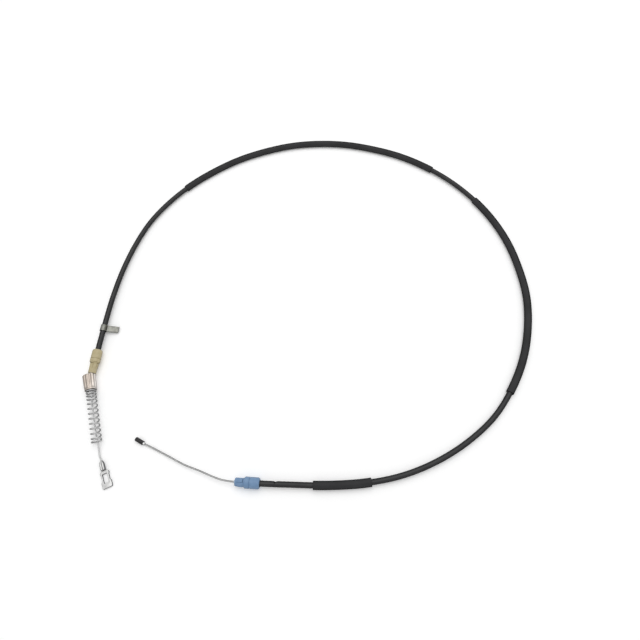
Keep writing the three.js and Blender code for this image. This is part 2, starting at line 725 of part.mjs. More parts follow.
function buildRearRope(top, mouth, eyeStart) {
  const heading = SPRING_HEADING + EYE_TURN;
  const level = (point, height) => new THREE.Vector3(point.x, point.y, height);
  const points = [
    along(vector(ROUTE[0]), REAR_HEADING, CLEARANCE),
    along(REAR_MOUTH, REAR_HEADING, REAR_CONNECTOR.length + GUIDE_SHOWN),
    level(along(top, CUP_HEADING, CUP_LENGTH / 2, CUP_SIDE_OFFSET / 4), CUP_HEIGHT),
    level(along(mouth, SPRING_HEADING, 10), CUP_HEIGHT),
    level(along(mouth, SPRING_HEADING, SPRING_SHOWN / 2), CUP_HEIGHT - 0.6),
    level(along(mouth, SPRING_HEADING, SPRING_SHOWN - 10, 0.3), CUP_HEIGHT - 2.2),
    level(along(mouth, SPRING_HEADING, SPRING_SHOWN + 4, 0.9), CUP_HEIGHT - 3.6),
    level(along(eyeStart, heading, -10), EYE_CRIMP_RADIUS + 0.9),
    level(along(eyeStart, heading, 0), EYE_CRIMP_RADIUS),
    level(along(eyeStart, heading, EYE_CRIMP_LENGTH - 2), EYE_CRIMP_RADIUS),
  ];
  const curve = new THREE.CatmullRomCurve3(points, false, "centripetal");
  add(cable, "rear_rope", tube(curve, 24, ROPE_RADIUS, ROPE_SIDES), PALE_STEEL);
}

function buildFrontRope() {
  const barrelStart = vector(BARREL_START);
  const points = [
    along(vector(ROUTE[ROUTE.length - 1]), headingFrom(FRONT_MOUTH, vector(ROUTE[ROUTE.length - 1])), CLEARANCE),
    ...FRONT_ROPE.map(vector),
    barrelStart,
    along(barrelStart, BARREL_HEADING, BARREL_BORE_DEPTH - 1),
  ];
  const curve = new THREE.CatmullRomCurve3(points, false, "centripetal");
  add(cable, "front_rope", tube(curve, 24, ROPE_RADIUS, ROPE_SIDES), STEEL);
}

function buildBarrel() {
  const frame = frameAt(vector(BARREL_START), BARREL_HEADING);
  const bore = ROPE_RADIUS + CLEARANCE;
  const grooveEnd = BARREL_GROOVE_AT + BARREL_GROOVE;
  const swageBore = SWAGE_RADIUS + CLEARANCE;
  const swageSeat = SWAGE_IN_BARREL + CLEARANCE;
  const barrel = turned([
    [0, swageBore],
    [0, BARREL_RADIUS],
    [BARREL_GROOVE_AT, BARREL_RADIUS],
    [BARREL_GROOVE_AT, BARREL_RADIUS - BARREL_GROOVE_DEPTH],
    [grooveEnd, BARREL_RADIUS - BARREL_GROOVE_DEPTH],
    [grooveEnd, BARREL_RADIUS],
    [BARREL_LENGTH - BARREL_CHAMFER, BARREL_RADIUS],
    [BARREL_LENGTH, BARREL_RADIUS - BARREL_CHAMFER],
    [BARREL_LENGTH, 0],
    [BARREL_BORE_DEPTH, 0],
    [BARREL_BORE_DEPTH, bore],
    [swageSeat, bore],
    [swageSeat, swageBore],
  ]);
  const swage = turned([
    [-SWAGE_SHOWN, bore],
    [-SWAGE_SHOWN, SWAGE_RADIUS - 0.2],
    [0, SWAGE_RADIUS],
    [SWAGE_IN_BARREL, SWAGE_RADIUS],
    [SWAGE_IN_BARREL, bore],
  ]);
  add(frame, "front_barrel", barrel, DARK_STEEL);
  add(frame, "rope_swage", swage, ZINC);
}

// The clip's section: round the conduit, then both layers of the tab side by side
function clipShape() {
  const inner = SLEEVE_BORE;
  const outer = inner + CLIP_SHEET;
  const gap = CLEARANCE / 2;
  const outerTurn = Math.asin((gap + CLIP_SHEET) / outer);
  const innerTurn = Math.asin(gap / inner);
  const shape = new THREE.Shape();
  shape.moveTo(CLIP_TAB_END, gap + CLIP_SHEET);
  shape.lineTo(outer * Math.cos(outerTurn), outer * Math.sin(outerTurn));
  shape.absarc(0, 0, outer, outerTurn, 2 * Math.PI - outerTurn, false);
  shape.lineTo(CLIP_TAB_END, -gap - CLIP_SHEET);
  shape.lineTo(CLIP_TAB_END, -gap);
  shape.absarc(0, 0, inner, 2 * Math.PI - innerTurn, innerTurn, true);
  shape.lineTo(CLIP_TAB_END, gap);
  return shape;
}

function buildClip() {
  const share = (REAR_MOUTH_AT + CLIP_AT) / ROUTE_LENGTH;
  const at = route.getPointAt(share);
  const tangent = route.getTangentAt(share);
  const heading = Math.atan2(tangent.y, tangent.x);
  const frame = frameAt(at, heading - Math.PI / 2);
  const clip = new THREE.ExtrudeGeometry(clipShape(), { depth: CLIP_WIDTH, bevelEnabled: false, curveSegments: 12 });
  clip.translate(0, 0, -CLIP_WIDTH / 2);
  clip.rotateZ(CLIP_DROOP);
  clip.rotateX(Math.PI / 2);
  add(frame, "conduit_clip", clip, SHEET_ZINC);
}

buildConduit();
buildSleeves();
buildClip();
buildRearConnector();
buildRearEnd();
buildFrontConnector();
buildFrontRope();
buildBarrel();

// The origin goes on the ground under the middle of the whole cable
const whole = new THREE.Box3().setFromObject(cable, true);
const middle = whole.getCenter(new THREE.Vector3());
cable.position.set(-middle.x, -middle.y, -whole.min.z);

export default cable;
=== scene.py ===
# Parking brake cable lying on a pale floor, seen from above its near end.
# Sizes are millimetres in the part's own frame and become metres where a mesh is made.

import math

import bmesh
import bpy
import numpy as np
from mathutils import Matrix, Vector


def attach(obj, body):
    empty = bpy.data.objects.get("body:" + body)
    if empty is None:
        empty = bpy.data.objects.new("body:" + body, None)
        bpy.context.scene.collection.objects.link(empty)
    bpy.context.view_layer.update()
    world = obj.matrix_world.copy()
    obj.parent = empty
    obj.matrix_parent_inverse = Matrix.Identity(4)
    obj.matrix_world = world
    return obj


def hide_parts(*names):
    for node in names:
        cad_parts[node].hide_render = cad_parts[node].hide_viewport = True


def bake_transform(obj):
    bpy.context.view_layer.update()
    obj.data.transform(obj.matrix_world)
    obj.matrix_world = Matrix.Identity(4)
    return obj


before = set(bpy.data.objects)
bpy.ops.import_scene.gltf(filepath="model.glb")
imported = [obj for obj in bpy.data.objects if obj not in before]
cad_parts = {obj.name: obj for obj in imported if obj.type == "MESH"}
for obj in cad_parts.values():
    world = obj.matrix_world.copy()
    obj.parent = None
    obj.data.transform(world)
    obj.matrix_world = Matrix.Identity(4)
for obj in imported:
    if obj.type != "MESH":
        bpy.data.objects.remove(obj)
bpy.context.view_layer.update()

MM = 0.001
TURN = 2 * math.pi

# The points below are measured from a mark on the ground; the frame's origin lies this far from it
ORIGIN = np.array([1.29, 0.4973, 0.0])

# The way of the rope, from the guide tube to the blue connector's seal
ROUTE = [
    (-333.69, -113.29, 8.6),
    (-330.11, -87.14, 8.6),
    (-328.26, -73.67, 8.6),
    (-323, -35, 8),
    (-315, 16, 7.2),
    (-303, 67, 6.6),
    (-286, 116, 6.1),
    (-263, 162, 5.7),
    (-231, 202, 5.7),
    (-193, 236, 5.6),
    (-149, 264, 5.6),
    (-102, 286, 5.6),
    (-52, 300, 5.6),
    (-1, 307, 5.6),
    (50, 305, 5.6),
    (101, 295, 5.6),
    (149, 277, 5.6),
    (195, 253, 5.6),
    (236, 222, 5.6),
    (272, 185, 5.6),
    (302, 142, 5.6),
    (324, 96, 5.6),
    (338, 46, 5.6),
    (343, -5, 5.6),
    (341, -57, 5.6),
    (329, -107, 5.6),
    (309, -155, 5.6),
    (281, -198, 5.6),
    (246, -236, 5.7),
    (204, -265, 5.8),
    (157, -287, 5.9),
    (107, -301, 6),
    (56, -306, 6),
    (4, -304, 6.1),
    (-47, -298, 7),
    (-86.5, -292.7, 7.8),
    (-98, -290.8, 7.8),
    (-116, -287.83, 7.8),
]
REAR_MOUTH = ROUTE[2]
FRONT_MOUTH = ROUTE[-3]
CONDUIT_DEPTH = 13.0

# Radii of the long pieces
ROPE_RADIUS = 1.25
ROPE_STRANDS = 7
ROPE_PITCH = 16.0
ROPE_START = 0.3
ROPE_IN_BARREL = 9
ROPE_SHARP = 70
STRAND_PRESS = 1.06
CORE_SHARE = 0.8
JACKET_RADIUS = 4.0
SLEEVE_BORE = 4.3
SLEEVE_RADIUS = 5.55
FRONT_SLEEVE_RADIUS = 5.95
SLEEVE_EDGE = 0.5

# Places on the conduit, measured from the rear connector's mouth
CLIP_AT = 36.7
NICK_AT = 1658.9
NICK_LENGTH = 6.0
NICK_FLAT = 1.0
NICK_FLOOR = 2.1
NICK_TILT = math.radians(25)
SLEEVES = {
    "rear_sleeve": (339.1, 488.8, SLEEVE_RADIUS),
    "side_sleeve": (925.2, 365.5, SLEEVE_RADIUS),
    "front_sleeve": (1531.7, 78.4, FRONT_SLEEVE_RADIUS),
}

# Ribs that the strands press into the conduit's skin
RIB_STARTS = 8
RIB_PITCH = 48.0
RIB_HEIGHT = 0.09

# Connectors, from the mouth along the axis to the nose
REAR_LENGTH = 37.6
FRONT_LENGTH = 33.5
NECK_RADIUS = 5.6
SHOULDER_RADIUS = 6.1
FINGERS = 3
FINGER_WIDTH = 5.0
FINGER_LENGTH = 7.6
FINGER_SLOT = 0.9
FINGER_SLOT_DEPTH = 1.1
FINGER_RISE = 0.4
REAR_FINGER_TURN = math.radians(14)
FRONT_FINGER_TURN = math.radians(20)
FINGER_EDGE = 0.15
CATCH_SLOPE = 0.3
CATCH_START = 0.4
CATCH_END = 1.2
CATCH_SINK = 0.1
GROOVE_LENGTH = 1.2
GROOVE_DEPTH = 0.7
GROOVE_SLOPE = 0.2
CONNECTOR_BEVEL = 0.5
SHOULDER_LENGTH = 1.5
SHOULDER_FOOT = 0.1
SLOT_REACH = 1.5
ROPE_PASSAGE = 2.6
FERRULE_START = 4.7
FERRULE_END = 15
FERRULE_RADIUS = 5.5

# Each connector: body and collar radius, rounding of the mouth, places of collar, shoulder and
# fingers, and radius and depth of the pocket in its nose
REAR_FORM = {"body": 7.25, "collar": 7.35, "edge": 2.7, "collar_at": 15.6, "shoulder_at": 20.4}
REAR_FINGERS_AT = 22.1
REAR_POCKET = (4.2, 4.5)
FRONT_FORM = {"body": 7.6, "collar": 7.7, "edge": 2.6, "collar_at": 14.0, "shoulder_at": 20.2}
FRONT_FINGERS_AT = 21.9
FRONT_POCKET = (4.0, 4.3)

# Seal in the front connector's nose
SEAL_RADIUS = 3.7
SEAL_LENGTH = 4.0
SEAL_LIP = 1.6
SEAL_LIP_START = 2.8
SEAL_LIP_END = 2.2
SEAL_EDGE = 0.3

# Room between pieces that fit together
ROOM = 0.1
SPRING_ROOM = 0.3

# Guide tube, cup and spring
GUIDE_RADIUS = 3.9
GUIDE_SHOWN = 2.4
GUIDE_IN_CUP = 4.0
GUIDE_IN_CONNECTOR = 4.2
GUIDE_BORE = 3.0
GUIDE_EDGE = 0.2
CUP_BEND = math.radians(20.8)
CUP_SIDE_OFFSET = 3.4
CUP_LENGTH = 24.4
CUP_TOP_RADIUS = 8.75
CUP_MOUTH_RADIUS = 8.25
CUP_FLUTES = 12
CUP_FLUTE_DEPTH = 0.8
CUP_HEIGHT = CUP_TOP_RADIUS + CUP_FLUTE_DEPTH / 2
CUP_LIP_RADIUS = 8.2
CUP_LIP_LENGTH = 2.4
CUP_SEAT_DEPTH = 2.4
CUP_HOLE_DEPTH = 6.0
CUP_HOLE_EDGE = 0.3
CUP_HOLE_BEVEL = 0.4
CUP_EDGE = 0.2
CUP_EDGE_DEPTH = 0.7
CUP_BORE = 5.3
CUP_BORE_END = 8.0
FLUTE_SHARPNESS = 0.6
FLUTES_END = 0.86
LIP_GROOVE = 0.4
LIP_GROOVE_LENGTH = 0.6
LIP_EDGE = 0.15
LIP_STEP = 0.05
LIP_BEVEL = 0.25
LIP_EDGE_LENGTH = 0.35
FLUTES_START = 0.03
FLUTES_FROM = 0.1
FLUTES_TO = 0.96
FLUTE_RINGS = 10
SPRING_WIRE = 0.95
SPRING_RADIUS = 7.35
SPRING_SHOWN = 79.4
SPRING_LEAN = math.radians(-0.8)
SPRING_DROOP = math.radians(1.4)

# Turns of the spring, and how far from the cup's mouth each of them is
SPRING_TURNS = (0, 1.5, 2.5, 3.5, 4.5, 11.5, 12.5, 13)
SPRING_PLACES = (-1.15, 3.6, 7.9, 13.3, 19.8, 72.3, 77.2, 78.45)

# Eye
EYE_AT = 105.5
EYE_SIDE_OFFSET = 1.7
EYE_TURN = math.radians(6.8)
EYE_CRIMP_LENGTH = 13.7
EYE_CRIMP_RADIUS = 3.4
EYE_PLATE = 3.0
EYE_LENGTH = 38.3
EYE_TOP_BAR_AT = 14.6
EYE_TOP_BAR = 3.7
EYE_TOP_BAR_HALF = 6.1
EYE_RAIL = 1.9
EYE_WINDOW_LENGTH = 13.0
EYE_WINDOW_HALF = 3.4
EYE_WING_AT = 28.6
EYE_WING_HALF = 6.8
EYE_TONGUE = [(12.2, 2.2), (14.2, 3.0)]
EYE_SHOULDER = 2.4
EYE_SHOULDER_START = 0.3
EYE_RAIL_STARTS = 2
EYE_WING_CORNER = 0.6
EYE_END_CORNER = 1
EYE_EDGE = 0.45
WINDOW_CORNER = 0.8

# Rings of the crimp: how far along it, their radius and how deep its seam is there
CRIMP_RINGS = [
    (0, 1.9, 0.2),
    (0.5, 2.3, 0.6),
    (3, 3.2, 1),
    (4.5, 3.4, 1),
    (12, 3.4, 1),
    (13.2, 3.3, 1),
    (13.7, 2.9, 1),
]
SEAM_WIDTH = 0.28
SEAM_DEPTH = 0.42
CRIMP_FLAT = 0.92
CRIMP_SHARP = 60

# Barrel
BARREL_START = (-250.1, -222.0, 3.0)
BARREL_HEADING = math.radians(146.2)
BARREL_RADIUS = 3.0
BARREL_LENGTH = 13.4
SWAGE_RADIUS = 1.95
SWAGE_SHOWN = 2.6
SWAGE_IN_BARREL = 1.5
SWAGE_TAPER = 0.2
SWAGE_TAPER_LENGTH = 1.5
SWAGE_BORE = 1.35
BARREL_BORE_END = 10
BARREL_GROOVE_AT = 2.1
BARREL_GROOVE_LENGTH = 0.9
BARREL_GROOVE_DEPTH = 0.4
BARREL_GROOVE_SLOPE = 0.15
BARREL_BEVEL = 0.7
BARREL_EDGE = 0.15
BARREL_MIDDLE = 0.001
COUNTERROOM = 0.3
FRONT_ROPE = [
    (-121.6, -286.9, 7.8),
    (-137.8, -282.8, 7.3),
    (-153.6, -275.7, 6.4),
    (-168, -268.2, 5.6),
    (-190.5, -257.4, 4.6),
    (-214.5, -242.9, 3.7),
    (-237, -229.4, 3.1),
]

# Fineness of the meshes: sides round a piece, angles in degrees and steps in millimetres
SHARP_ANGLE = 35
RIM_SHARE = 0.3
FILLET_SHARE = 0.45
LATHE_SIDES = 64
CONNECTOR_SIDES = 72
BARREL_SIDES = 48
SWAGE_SIDES = 40
CONDUIT_SIDES = 24
SLEEVE_SIDES = 32
SPRING_SIDES = 12
CRIMP_SIDES = 40
STRAND_SIDES = 6
CORE_SIDES = 8
SIDES_A_FLUTE = 12
CURVE_PIECES = 60
ARC_STEPS = 40
EDGE_STEPS = 8
CONDUIT_STEP = 1.2
ROPE_STEP = 0.9
SLEEVE_STEP = 4.0
STEPS_A_TURN = 36

# Camera, floor and light
FLOOR_HALF = 4.0
FLOOR_WHITE = 0.14
WORLD_LIGHT = 0.6
LAMP_PLACE = (0.2, 0.5, 2.2)
LAMP_SIZE = 2.6
LAMP_POWER = 23
CAMERA_SENSOR = 36.0
CAMERA_PLACE = (17.0, -355.5, 641.8)
CAMERA_PITCH = math.radians(65.2)
CAMERA_ROLL = math.radians(-6.06)
CAMERA_LENS = 25.3125
CAMERA_SHIFT = -0.0004


def points_array(points):
    return np.array(points, float)


# Curves

def rounded_curve(points):
    """Points of a centripetal curve through the given ones."""
    given = points_array(points)
    ends = [2 * given[0] - given[1], *given, 2 * given[-1] - given[-2]]
    out = [given[0]]
    for a, b, c, d in zip(ends, ends[1:], ends[2:], ends[3:]):
        ab, bc, cd = (math.sqrt(np.linalg.norm(q - p)) for p, q in ((a, b), (b, c), (c, d)))
        leave = ((b - a) / ab - (c - a) / (ab + bc) + (c - b) / bc) * bc
        arrive = ((c - b) / bc - (d - b) / (bc + cd) + (d - c) / cd) * bc
        for t in np.arange(1, CURVE_PIECES + 1) / CURVE_PIECES:
            cubic = 2 * b - 2 * c + leave + arrive
            square = 3 * c - 3 * b - 2 * leave - arrive
            out.append(b + leave * t + square * t**2 + cubic * t**3)
    return np.array(out)


def lengths_along(line):
    return np.concatenate([[0], np.cumsum(np.linalg.norm(np.diff(line, axis=0), axis=1))])


def at_lengths(line, places):
    along = lengths_along(line)
    return np.stack([np.interp(places, along, line[:, k]) for k in range(3)], axis=1)


def stretch(line, start, end, step):
    count = max(2, int(round((end - start) / step)) + 1)
    return at_lengths(line, np.linspace(start, end, count))


def directions(line):
    tangent = np.gradient(line, axis=0)
    return tangent / np.linalg.norm(tangent, axis=1)[:, None]


def sides_of(line):
    """Unit vectors to the left of the line and above it."""
    tangent = directions(line)
    left = np.cross([0, 0, 1.0], tangent)
    left /= np.linalg.norm(left, axis=1)[:, None]
    return left, np.cross(tangent, left)


route = rounded_curve(ROUTE)
ROUTE_TOTAL = lengths_along(route)[-1]
REAR_MOUTH_AT = float(np.linalg.norm(points_array(ROUTE[0]) - points_array(REAR_MOUTH)))
FRONT_MOUTH_AT = ROUTE_TOTAL - float(np.linalg.norm(points_array(ROUTE[-1]) - points_array(FRONT_MOUTH)))
CONDUIT_START = REAR_MOUTH_AT - CONDUIT_DEPTH
CONDUIT_END = FRONT_MOUTH_AT + CONDUIT_DEPTH


# Places with their own axes: +X along a level heading

def heading_of(a, b):
    return math.atan2(b[1] - a[1], b[0] - a[0])


def along(point, heading, forward, left=0.0, height=None):
    x = point[0] + math.cos(heading) * forward - math.sin(heading) * left
    y = point[1] + math.sin(heading) * forward + math.cos(heading) * left
    return (x, y, point[2] if height is None else height)


def placing(point, heading):
    return Matrix.Translation(point) @ Matrix.Rotation(heading, 4, "Z")


REAR_HEADING = heading_of(REAR_MOUTH, ROUTE[0])
FRONT_HEADING = heading_of(FRONT_MOUTH, ROUTE[-1])
CUP_HEADING = REAR_HEADING + CUP_BEND
SPRING_HEADING = CUP_HEADING + SPRING_LEAN
EYE_HEADING = SPRING_HEADING + EYE_TURN
GUIDE_END = along(REAR_MOUTH, REAR_HEADING, REAR_LENGTH + GUIDE_SHOWN)
CUP_TOP = along(GUIDE_END, CUP_HEADING, 0, -CUP_SIDE_OFFSET, CUP_HEIGHT)
CUP_MOUTH = along(CUP_TOP, CUP_HEADING, CUP_LENGTH)
EYE_START = along(CUP_MOUTH, SPRING_HEADING, EYE_AT, EYE_SIDE_OFFSET, 0)


# Meshes

def piece(name, vertices, faces, made, body="conduit", place=None, sharp=SHARP_ANGLE, stands_for=()):
    """A mesh from millimetres, riding on a body and standing for CAD nodes."""
    verts = np.array(vertices, float)
    if place is not None:
        turn = np.array(place.to_3x3())
        verts = verts @ turn.T + np.array(place.translation)
    verts = (verts - ORIGIN) * MM
    mesh = bpy.data.meshes.new(name)
    mesh.from_pydata(verts.tolist(), [], [list(f) for f in faces])
    mesh.polygons.foreach_set("use_smooth", [True] * len(mesh.polygons))
    mesh.set_sharp_from_angle(angle=math.radians(sharp))
    mesh.materials.append(made)
    obj = bpy.data.objects.new(name, mesh)
    bpy.context.collection.objects.link(obj)
    if stands_for:
        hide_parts(*stands_for)
    if body:
        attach(obj, body)
    return obj


def grid_faces(rows, columns, closed_rows=False, offset=0):
    """Four-sided faces between rings of the same number of points."""
    faces = []
    for i in range(rows if closed_rows else rows - 1):
        here = offset + i * columns
        after = offset + (i + 1) % rows * columns
        for j in range(columns):
            beside = (j + 1) % columns
            faces.append((here + j, here + beside, after + beside, after + j))
    return faces


def capped_faces(rows, columns):
    """Faces between rings, with a face over the first and the last of them."""
    faces = grid_faces(rows, columns)
    faces.append(tuple(reversed(range(columns))))
    faces.append(tuple(range((rows - 1) * columns, rows * columns)))
    return faces


def tube_rings(line, radius, sides):
    """Rings round a line. The radius is one number or one for each ring and side."""
    left, up = sides_of(line)
    angles = np.arange(sides) / sides * TURN
    radii = np.broadcast_to(np.asarray(radius, float), (len(line), sides))
    cos, sin = np.cos(angles), np.sin(angles)
    rings = line[:, None, :] + radii[..., None] * (
        cos[None, :, None] * left[:, None, :] + sin[None, :, None] * up[:, None, :]
    )
    return rings.reshape(-1, 3)


def flipped(faces):
    return [tuple(reversed(f)) for f in faces]


def solid_tube(line, radius, sides):
    return tube_rings(line, radius, sides), capped_faces(len(line), sides)


def hollow_tube(line, radius, bore, sides, edge):
    """A tube with a bore, and with the outer rims at both its ends rounded off."""
    place = lengths_along(line)
    total = place[-1]
    inset = [0, edge * RIM_SHARE, edge]
    between = place[(place > edge) & (place < total - edge)]
    outside_at = np.concatenate([inset, between, total - np.array(inset[::-1])])
    outer = at_lengths(line, outside_at)
    distance = np.minimum(outside_at, total - outside_at)
    drop = np.where(distance < edge, edge - np.sqrt(np.maximum(0, 2 * edge * distance - distance**2)), 0)
    outside = tube_rings(outer, (radius - drop)[:, None] * np.ones(sides), sides)
    inside = tube_rings(line, bore, sides)
    rows, rows_in = len(outer), len(line)
    faces = grid_faces(rows, sides)
    faces += flipped(grid_faces(rows_in, sides, offset=rows * sides))
    for j in range(sides):
        k = (j + 1) % sides
        first_in = rows * sides
        faces.append((k, j, first_in + j, first_in + k))
        last, last_in = (rows - 1) * sides, (rows + rows_in - 1) * sides
        faces.append((last + j, last + k, last_in + k, last_in + j))
    return np.concatenate([outside, inside]), faces


def filleted(outline, radius, steps=3):
    """A closed outline with its corners rounded."""
    points = points_array(outline)
    out = []
    for i, corner in enumerate(points):
        before, after = points[i - 1], points[(i + 1) % len(points)]
        to_before, to_after = before - corner, after - corner
        reach = min(radius, FILLET_SHARE * min(np.linalg.norm(to_before), np.linalg.norm(to_after)))
        start = corner + to_before / np.linalg.norm(to_before) * reach
        end = corner + to_after / np.linalg.norm(to_after) * reach
        for t in np.linspace(0, 1, steps + 1):
            out.append((1 - t) ** 2 * start + 2 * t * (1 - t) * corner + t**2 * end)
    return np.array(out)


def turned(outline, sides=LATHE_SIDES):
    """A ring turned about +X from a closed outline of distance and radius."""
    outline = points_array(outline)
    angles = np.arange(sides) / sides * TURN
    x = np.repeat(outline[:, 0], sides)
    r = np.repeat(outline[:, 1], sides)
    a = np.tile(angles, len(outline))
    vertices = np.stack([x, r * np.cos(a), r * np.sin(a)], axis=1)
    return vertices, flipped(grid_faces(len(outline), sides, closed_rows=True))


def prism(outline, low, high):
    """A flat outline drawn out between two heights."""
    outline = points_array(outline)
    count = len(outline)
    bottom = np.column_stack([outline, np.full(count, low)])
    top = np.column_stack([outline, np.full(count, high)])
    faces = [tuple(reversed(range(count))), tuple(range(count, 2 * count))]
    for i in range(count):
        j = (i + 1) % count
        faces.append((i, j, count + j, count + i))
    return np.concatenate([bottom, top]), faces


def joined(*parts):
    """Several lists of vertices and faces as one."""
    vertices, faces = [], []
    for verts, polys in parts:
        offset = sum(len(v) for v in vertices)
        vertices.append(np.asarray(verts, float))
        faces += [tuple(offset + i for i in f) for f in polys]
    return np.concatenate(vertices), faces


def rotated_x(vertices, angle):
    c, s = math.cos(angle), math.sin(angle)
    turn = np.array([[1, 0, 0], [0, c, -s], [0, s, c]])
    return np.asarray(vertices, float) @ turn.T


def cut_away(obj, vertices, faces, place=None):
    """Takes a closed shape away from a piece."""
    verts = np.array(vertices, float)
    if place is not None:
        verts = verts @ np.array(place.to_3x3()).T + np.array(place.translation)
    mesh = bpy.data.meshes.new(obj.name + "_cutter")
    mesh.from_pydata(((verts - ORIGIN) * MM).tolist(), [], [list(f) for f in faces])
    cutter = bpy.data.objects.new(mesh.name, mesh)
    bpy.context.collection.objects.link(cutter)
    outward(mesh)
    outward(obj.data)
    modifier = obj.modifiers.new("cut", "BOOLEAN")
    modifier.operation = "DIFFERENCE"
    modifier.solver = "EXACT"
    modifier.object = cutter
    settle(obj)
    bpy.data.objects.remove(cutter)


def settle(obj):
    """Makes a piece's modifiers part of its mesh."""
    bpy.context.view_layer.update()
    graph = bpy.context.evaluated_depsgraph_get()
    made = bpy.data.meshes.new_from_object(obj.evaluated_get(graph))
    obj.modifiers.clear()
    obj.data = made
    made.polygons.foreach_set("use_smooth", [True] * len(made.polygons))
    made.set_sharp_from_angle(angle=math.radians(SHARP_ANGLE))


def outward(mesh):
    work = bmesh.new()
    work.from_mesh(mesh)
    bmesh.ops.recalc_face_normals(work, faces=work.faces)
    work.to_mesh(mesh)
    work.free()


BEVEL_ANGLE = math.radians(40)


def soften(obj, width, segments=2):
    modifier = obj.modifiers.new("edge", "BEVEL")
    modifier.width = width * MM
    modifier.segments = segments
    modifier.limit_method = "ANGLE"
    modifier.angle_limit = BEVEL_ANGLE
    settle(obj)


# Materials

WHITE = (1, 1, 1)
PATCH_DETAIL = 4.0
PATCH_START = 0.35
PATCH_END = 0.65
GRAIN_DETAIL = 3.0
# Waves of painted shade round the frame's x axis
PAINTED_SHADE_WAVES = 12


def look(name, colour, roughness, metallic=0.0):
    made = bpy.data.materials.new(name)
    made.use_nodes = True
    shader = made.node_tree.nodes["Principled BSDF"]
    shader.inputs["Base Color"].default_value = (*colour, 1)
    shader.inputs["Roughness"].default_value = roughness
    shader.inputs["Metallic"].default_value = metallic
    return made


def node(made, kind, **settings):
    new = made.node_tree.nodes.new(kind)
    for key, value in settings.items():
        if hasattr(new, key):
            setattr(new, key, value)
        else:
            new.inputs[key.replace("_", " ")].default_value = value
    return new


def join(made, source, output, target, socket):
    made.node_tree.links.new(source.outputs[output], target.inputs[socket])


def shader_of(made):
    return made.node_tree.nodes["Principled BSDF"]


def ramp_between(made, first_at, first, second_at, second):
    """A ramp from one colour to another between two places."""
    ramp = node(made, "ShaderNodeValToRGB")
    stops = zip(ramp.color_ramp.elements, (first_at, second_at), (first, second))
    for element, position, colour in stops:
        element.position = position
        element.color = (*colour, 1)
    return ramp


def patches(made, low, high, scale):
    """Soft patches between two colours over the whole piece."""
    place = node(made, "ShaderNodeTexCoord")
    noise = node(made, "ShaderNodeTexNoise", Scale=scale, Detail=PATCH_DETAIL)
    ramp = ramp_between(made, PATCH_START, low, PATCH_END, high)
    join(made, place, "Object", noise, "Vector")
    join(made, noise, "Fac", ramp, "Fac")
    join(made, ramp, "Color", shader_of(made), "Base Color")
    return ramp


def painted_edge_shade(made, ramp, dark, start, end, gloss=None):
    """Painted shade: turns the colour darker, and the gloss lower, where the surface turns away from the
    eye.
    """
    weight = node(made, "ShaderNodeLayerWeight", Blend=0.5)
    fade = ramp_between(made, start, WHITE, end, dark)
    mix = node(made, "ShaderNodeMixRGB", blend_type="MULTIPLY", Fac=1.0)
    join(made, weight, "Facing", fade, "Fac")
    join(made, ramp, "Color", mix, "Color1")
    join(made, fade, "Color", mix, "Color2")
    join(made, mix, "Color", shader_of(made), "Base Color")
    if gloss is not None:
        level = node(made, "ShaderNodeMath", operation="MULTIPLY")
        level.inputs[1].default_value = gloss
        join(made, fade, "Color", level, 0)
        join(made, level, "Value", shader_of(made), "Specular IOR Level")


def grain(made, scale, strength, distance):
    """Fine unevenness of the surface."""
    place = node(made, "ShaderNodeTexCoord")
    noise = node(made, "ShaderNodeTexNoise", Scale=scale, Detail=GRAIN_DETAIL)
    bump = node(made, "ShaderNodeBump", Strength=strength, Distance=distance)
    join(made, place, "Object", noise, "Vector")
    join(made, noise, "Fac", bump, "Height")
    join(made, bump, "Normal", shader_of(made), "Normal")


def jacket_look():
    made = look("jacket_plastic", (0.012, 0.012, 0.013), roughness=0.34)
    ramp = patches(made, low=(0.009, 0.009, 0.010), high=(0.018, 0.018, 0.019), scale=60)
    # Painted shade towards the rims that turn away from the eye
    painted_edge_shade(made, ramp, dark=(0.04, 0.04, 0.04), start=0.15, end=0.6, gloss=0.32)
    grain(made, scale=900, strength=0.25, distance=0.0002)
    return made


def sleeve_look():
    made = look("sleeve_plastic", (0.035, 0.035, 0.037), roughness=0.62)
    ramp = patches(made, low=(0.022, 0.022, 0.023), high=(0.032, 0.032, 0.034), scale=40)
    # Painted shade towards the rims that turn away from the eye
    painted_edge_shade(made, ramp, dark=(0.04, 0.04, 0.04), start=0.2, end=0.7, gloss=0.2)
    grain(made, scale=1400, strength=0.3, distance=0.0003)
    return made


def plastic_look(name, low, high, roughness):
    made = look(name, low, roughness)
    ramp = patches(made, low, high, scale=180)
    # Painted shade towards the rims that turn away from the eye
    painted_edge_shade(made, ramp, dark=(0.45, 0.45, 0.45), start=0.45, end=0.95, gloss=0.35)
    grain(made, scale=1500, strength=0.15, distance=0.0002)
    return made


def metal_look(name, low, high, roughness, metallic=0.9, dark=(0.25, 0.25, 0.25)):
    made = look(name, low, roughness, metallic)
    ramp = patches(made, low, high, scale=220)
    # Painted shade towards the rims that turn away from the eye
    painted_edge_shade(made, ramp, dark, start=0.2, end=0.85)
    grain(made, scale=1800, strength=0.2, distance=0.0002)
    return made


def colour_times(made, factor):
    """Multiplies the colour that the surface has so far by one more colour."""
    shader = shader_of(made)
    before = shader.inputs["Base Color"].links[0].from_socket
    mix = node(made, "ShaderNodeMixRGB", blend_type="MULTIPLY", Fac=1.0)
    made.node_tree.links.new(before, mix.inputs["Color1"])
    join(made, factor, "Color", mix, "Color2")
    join(made, mix, "Color", shader, "Base Color")


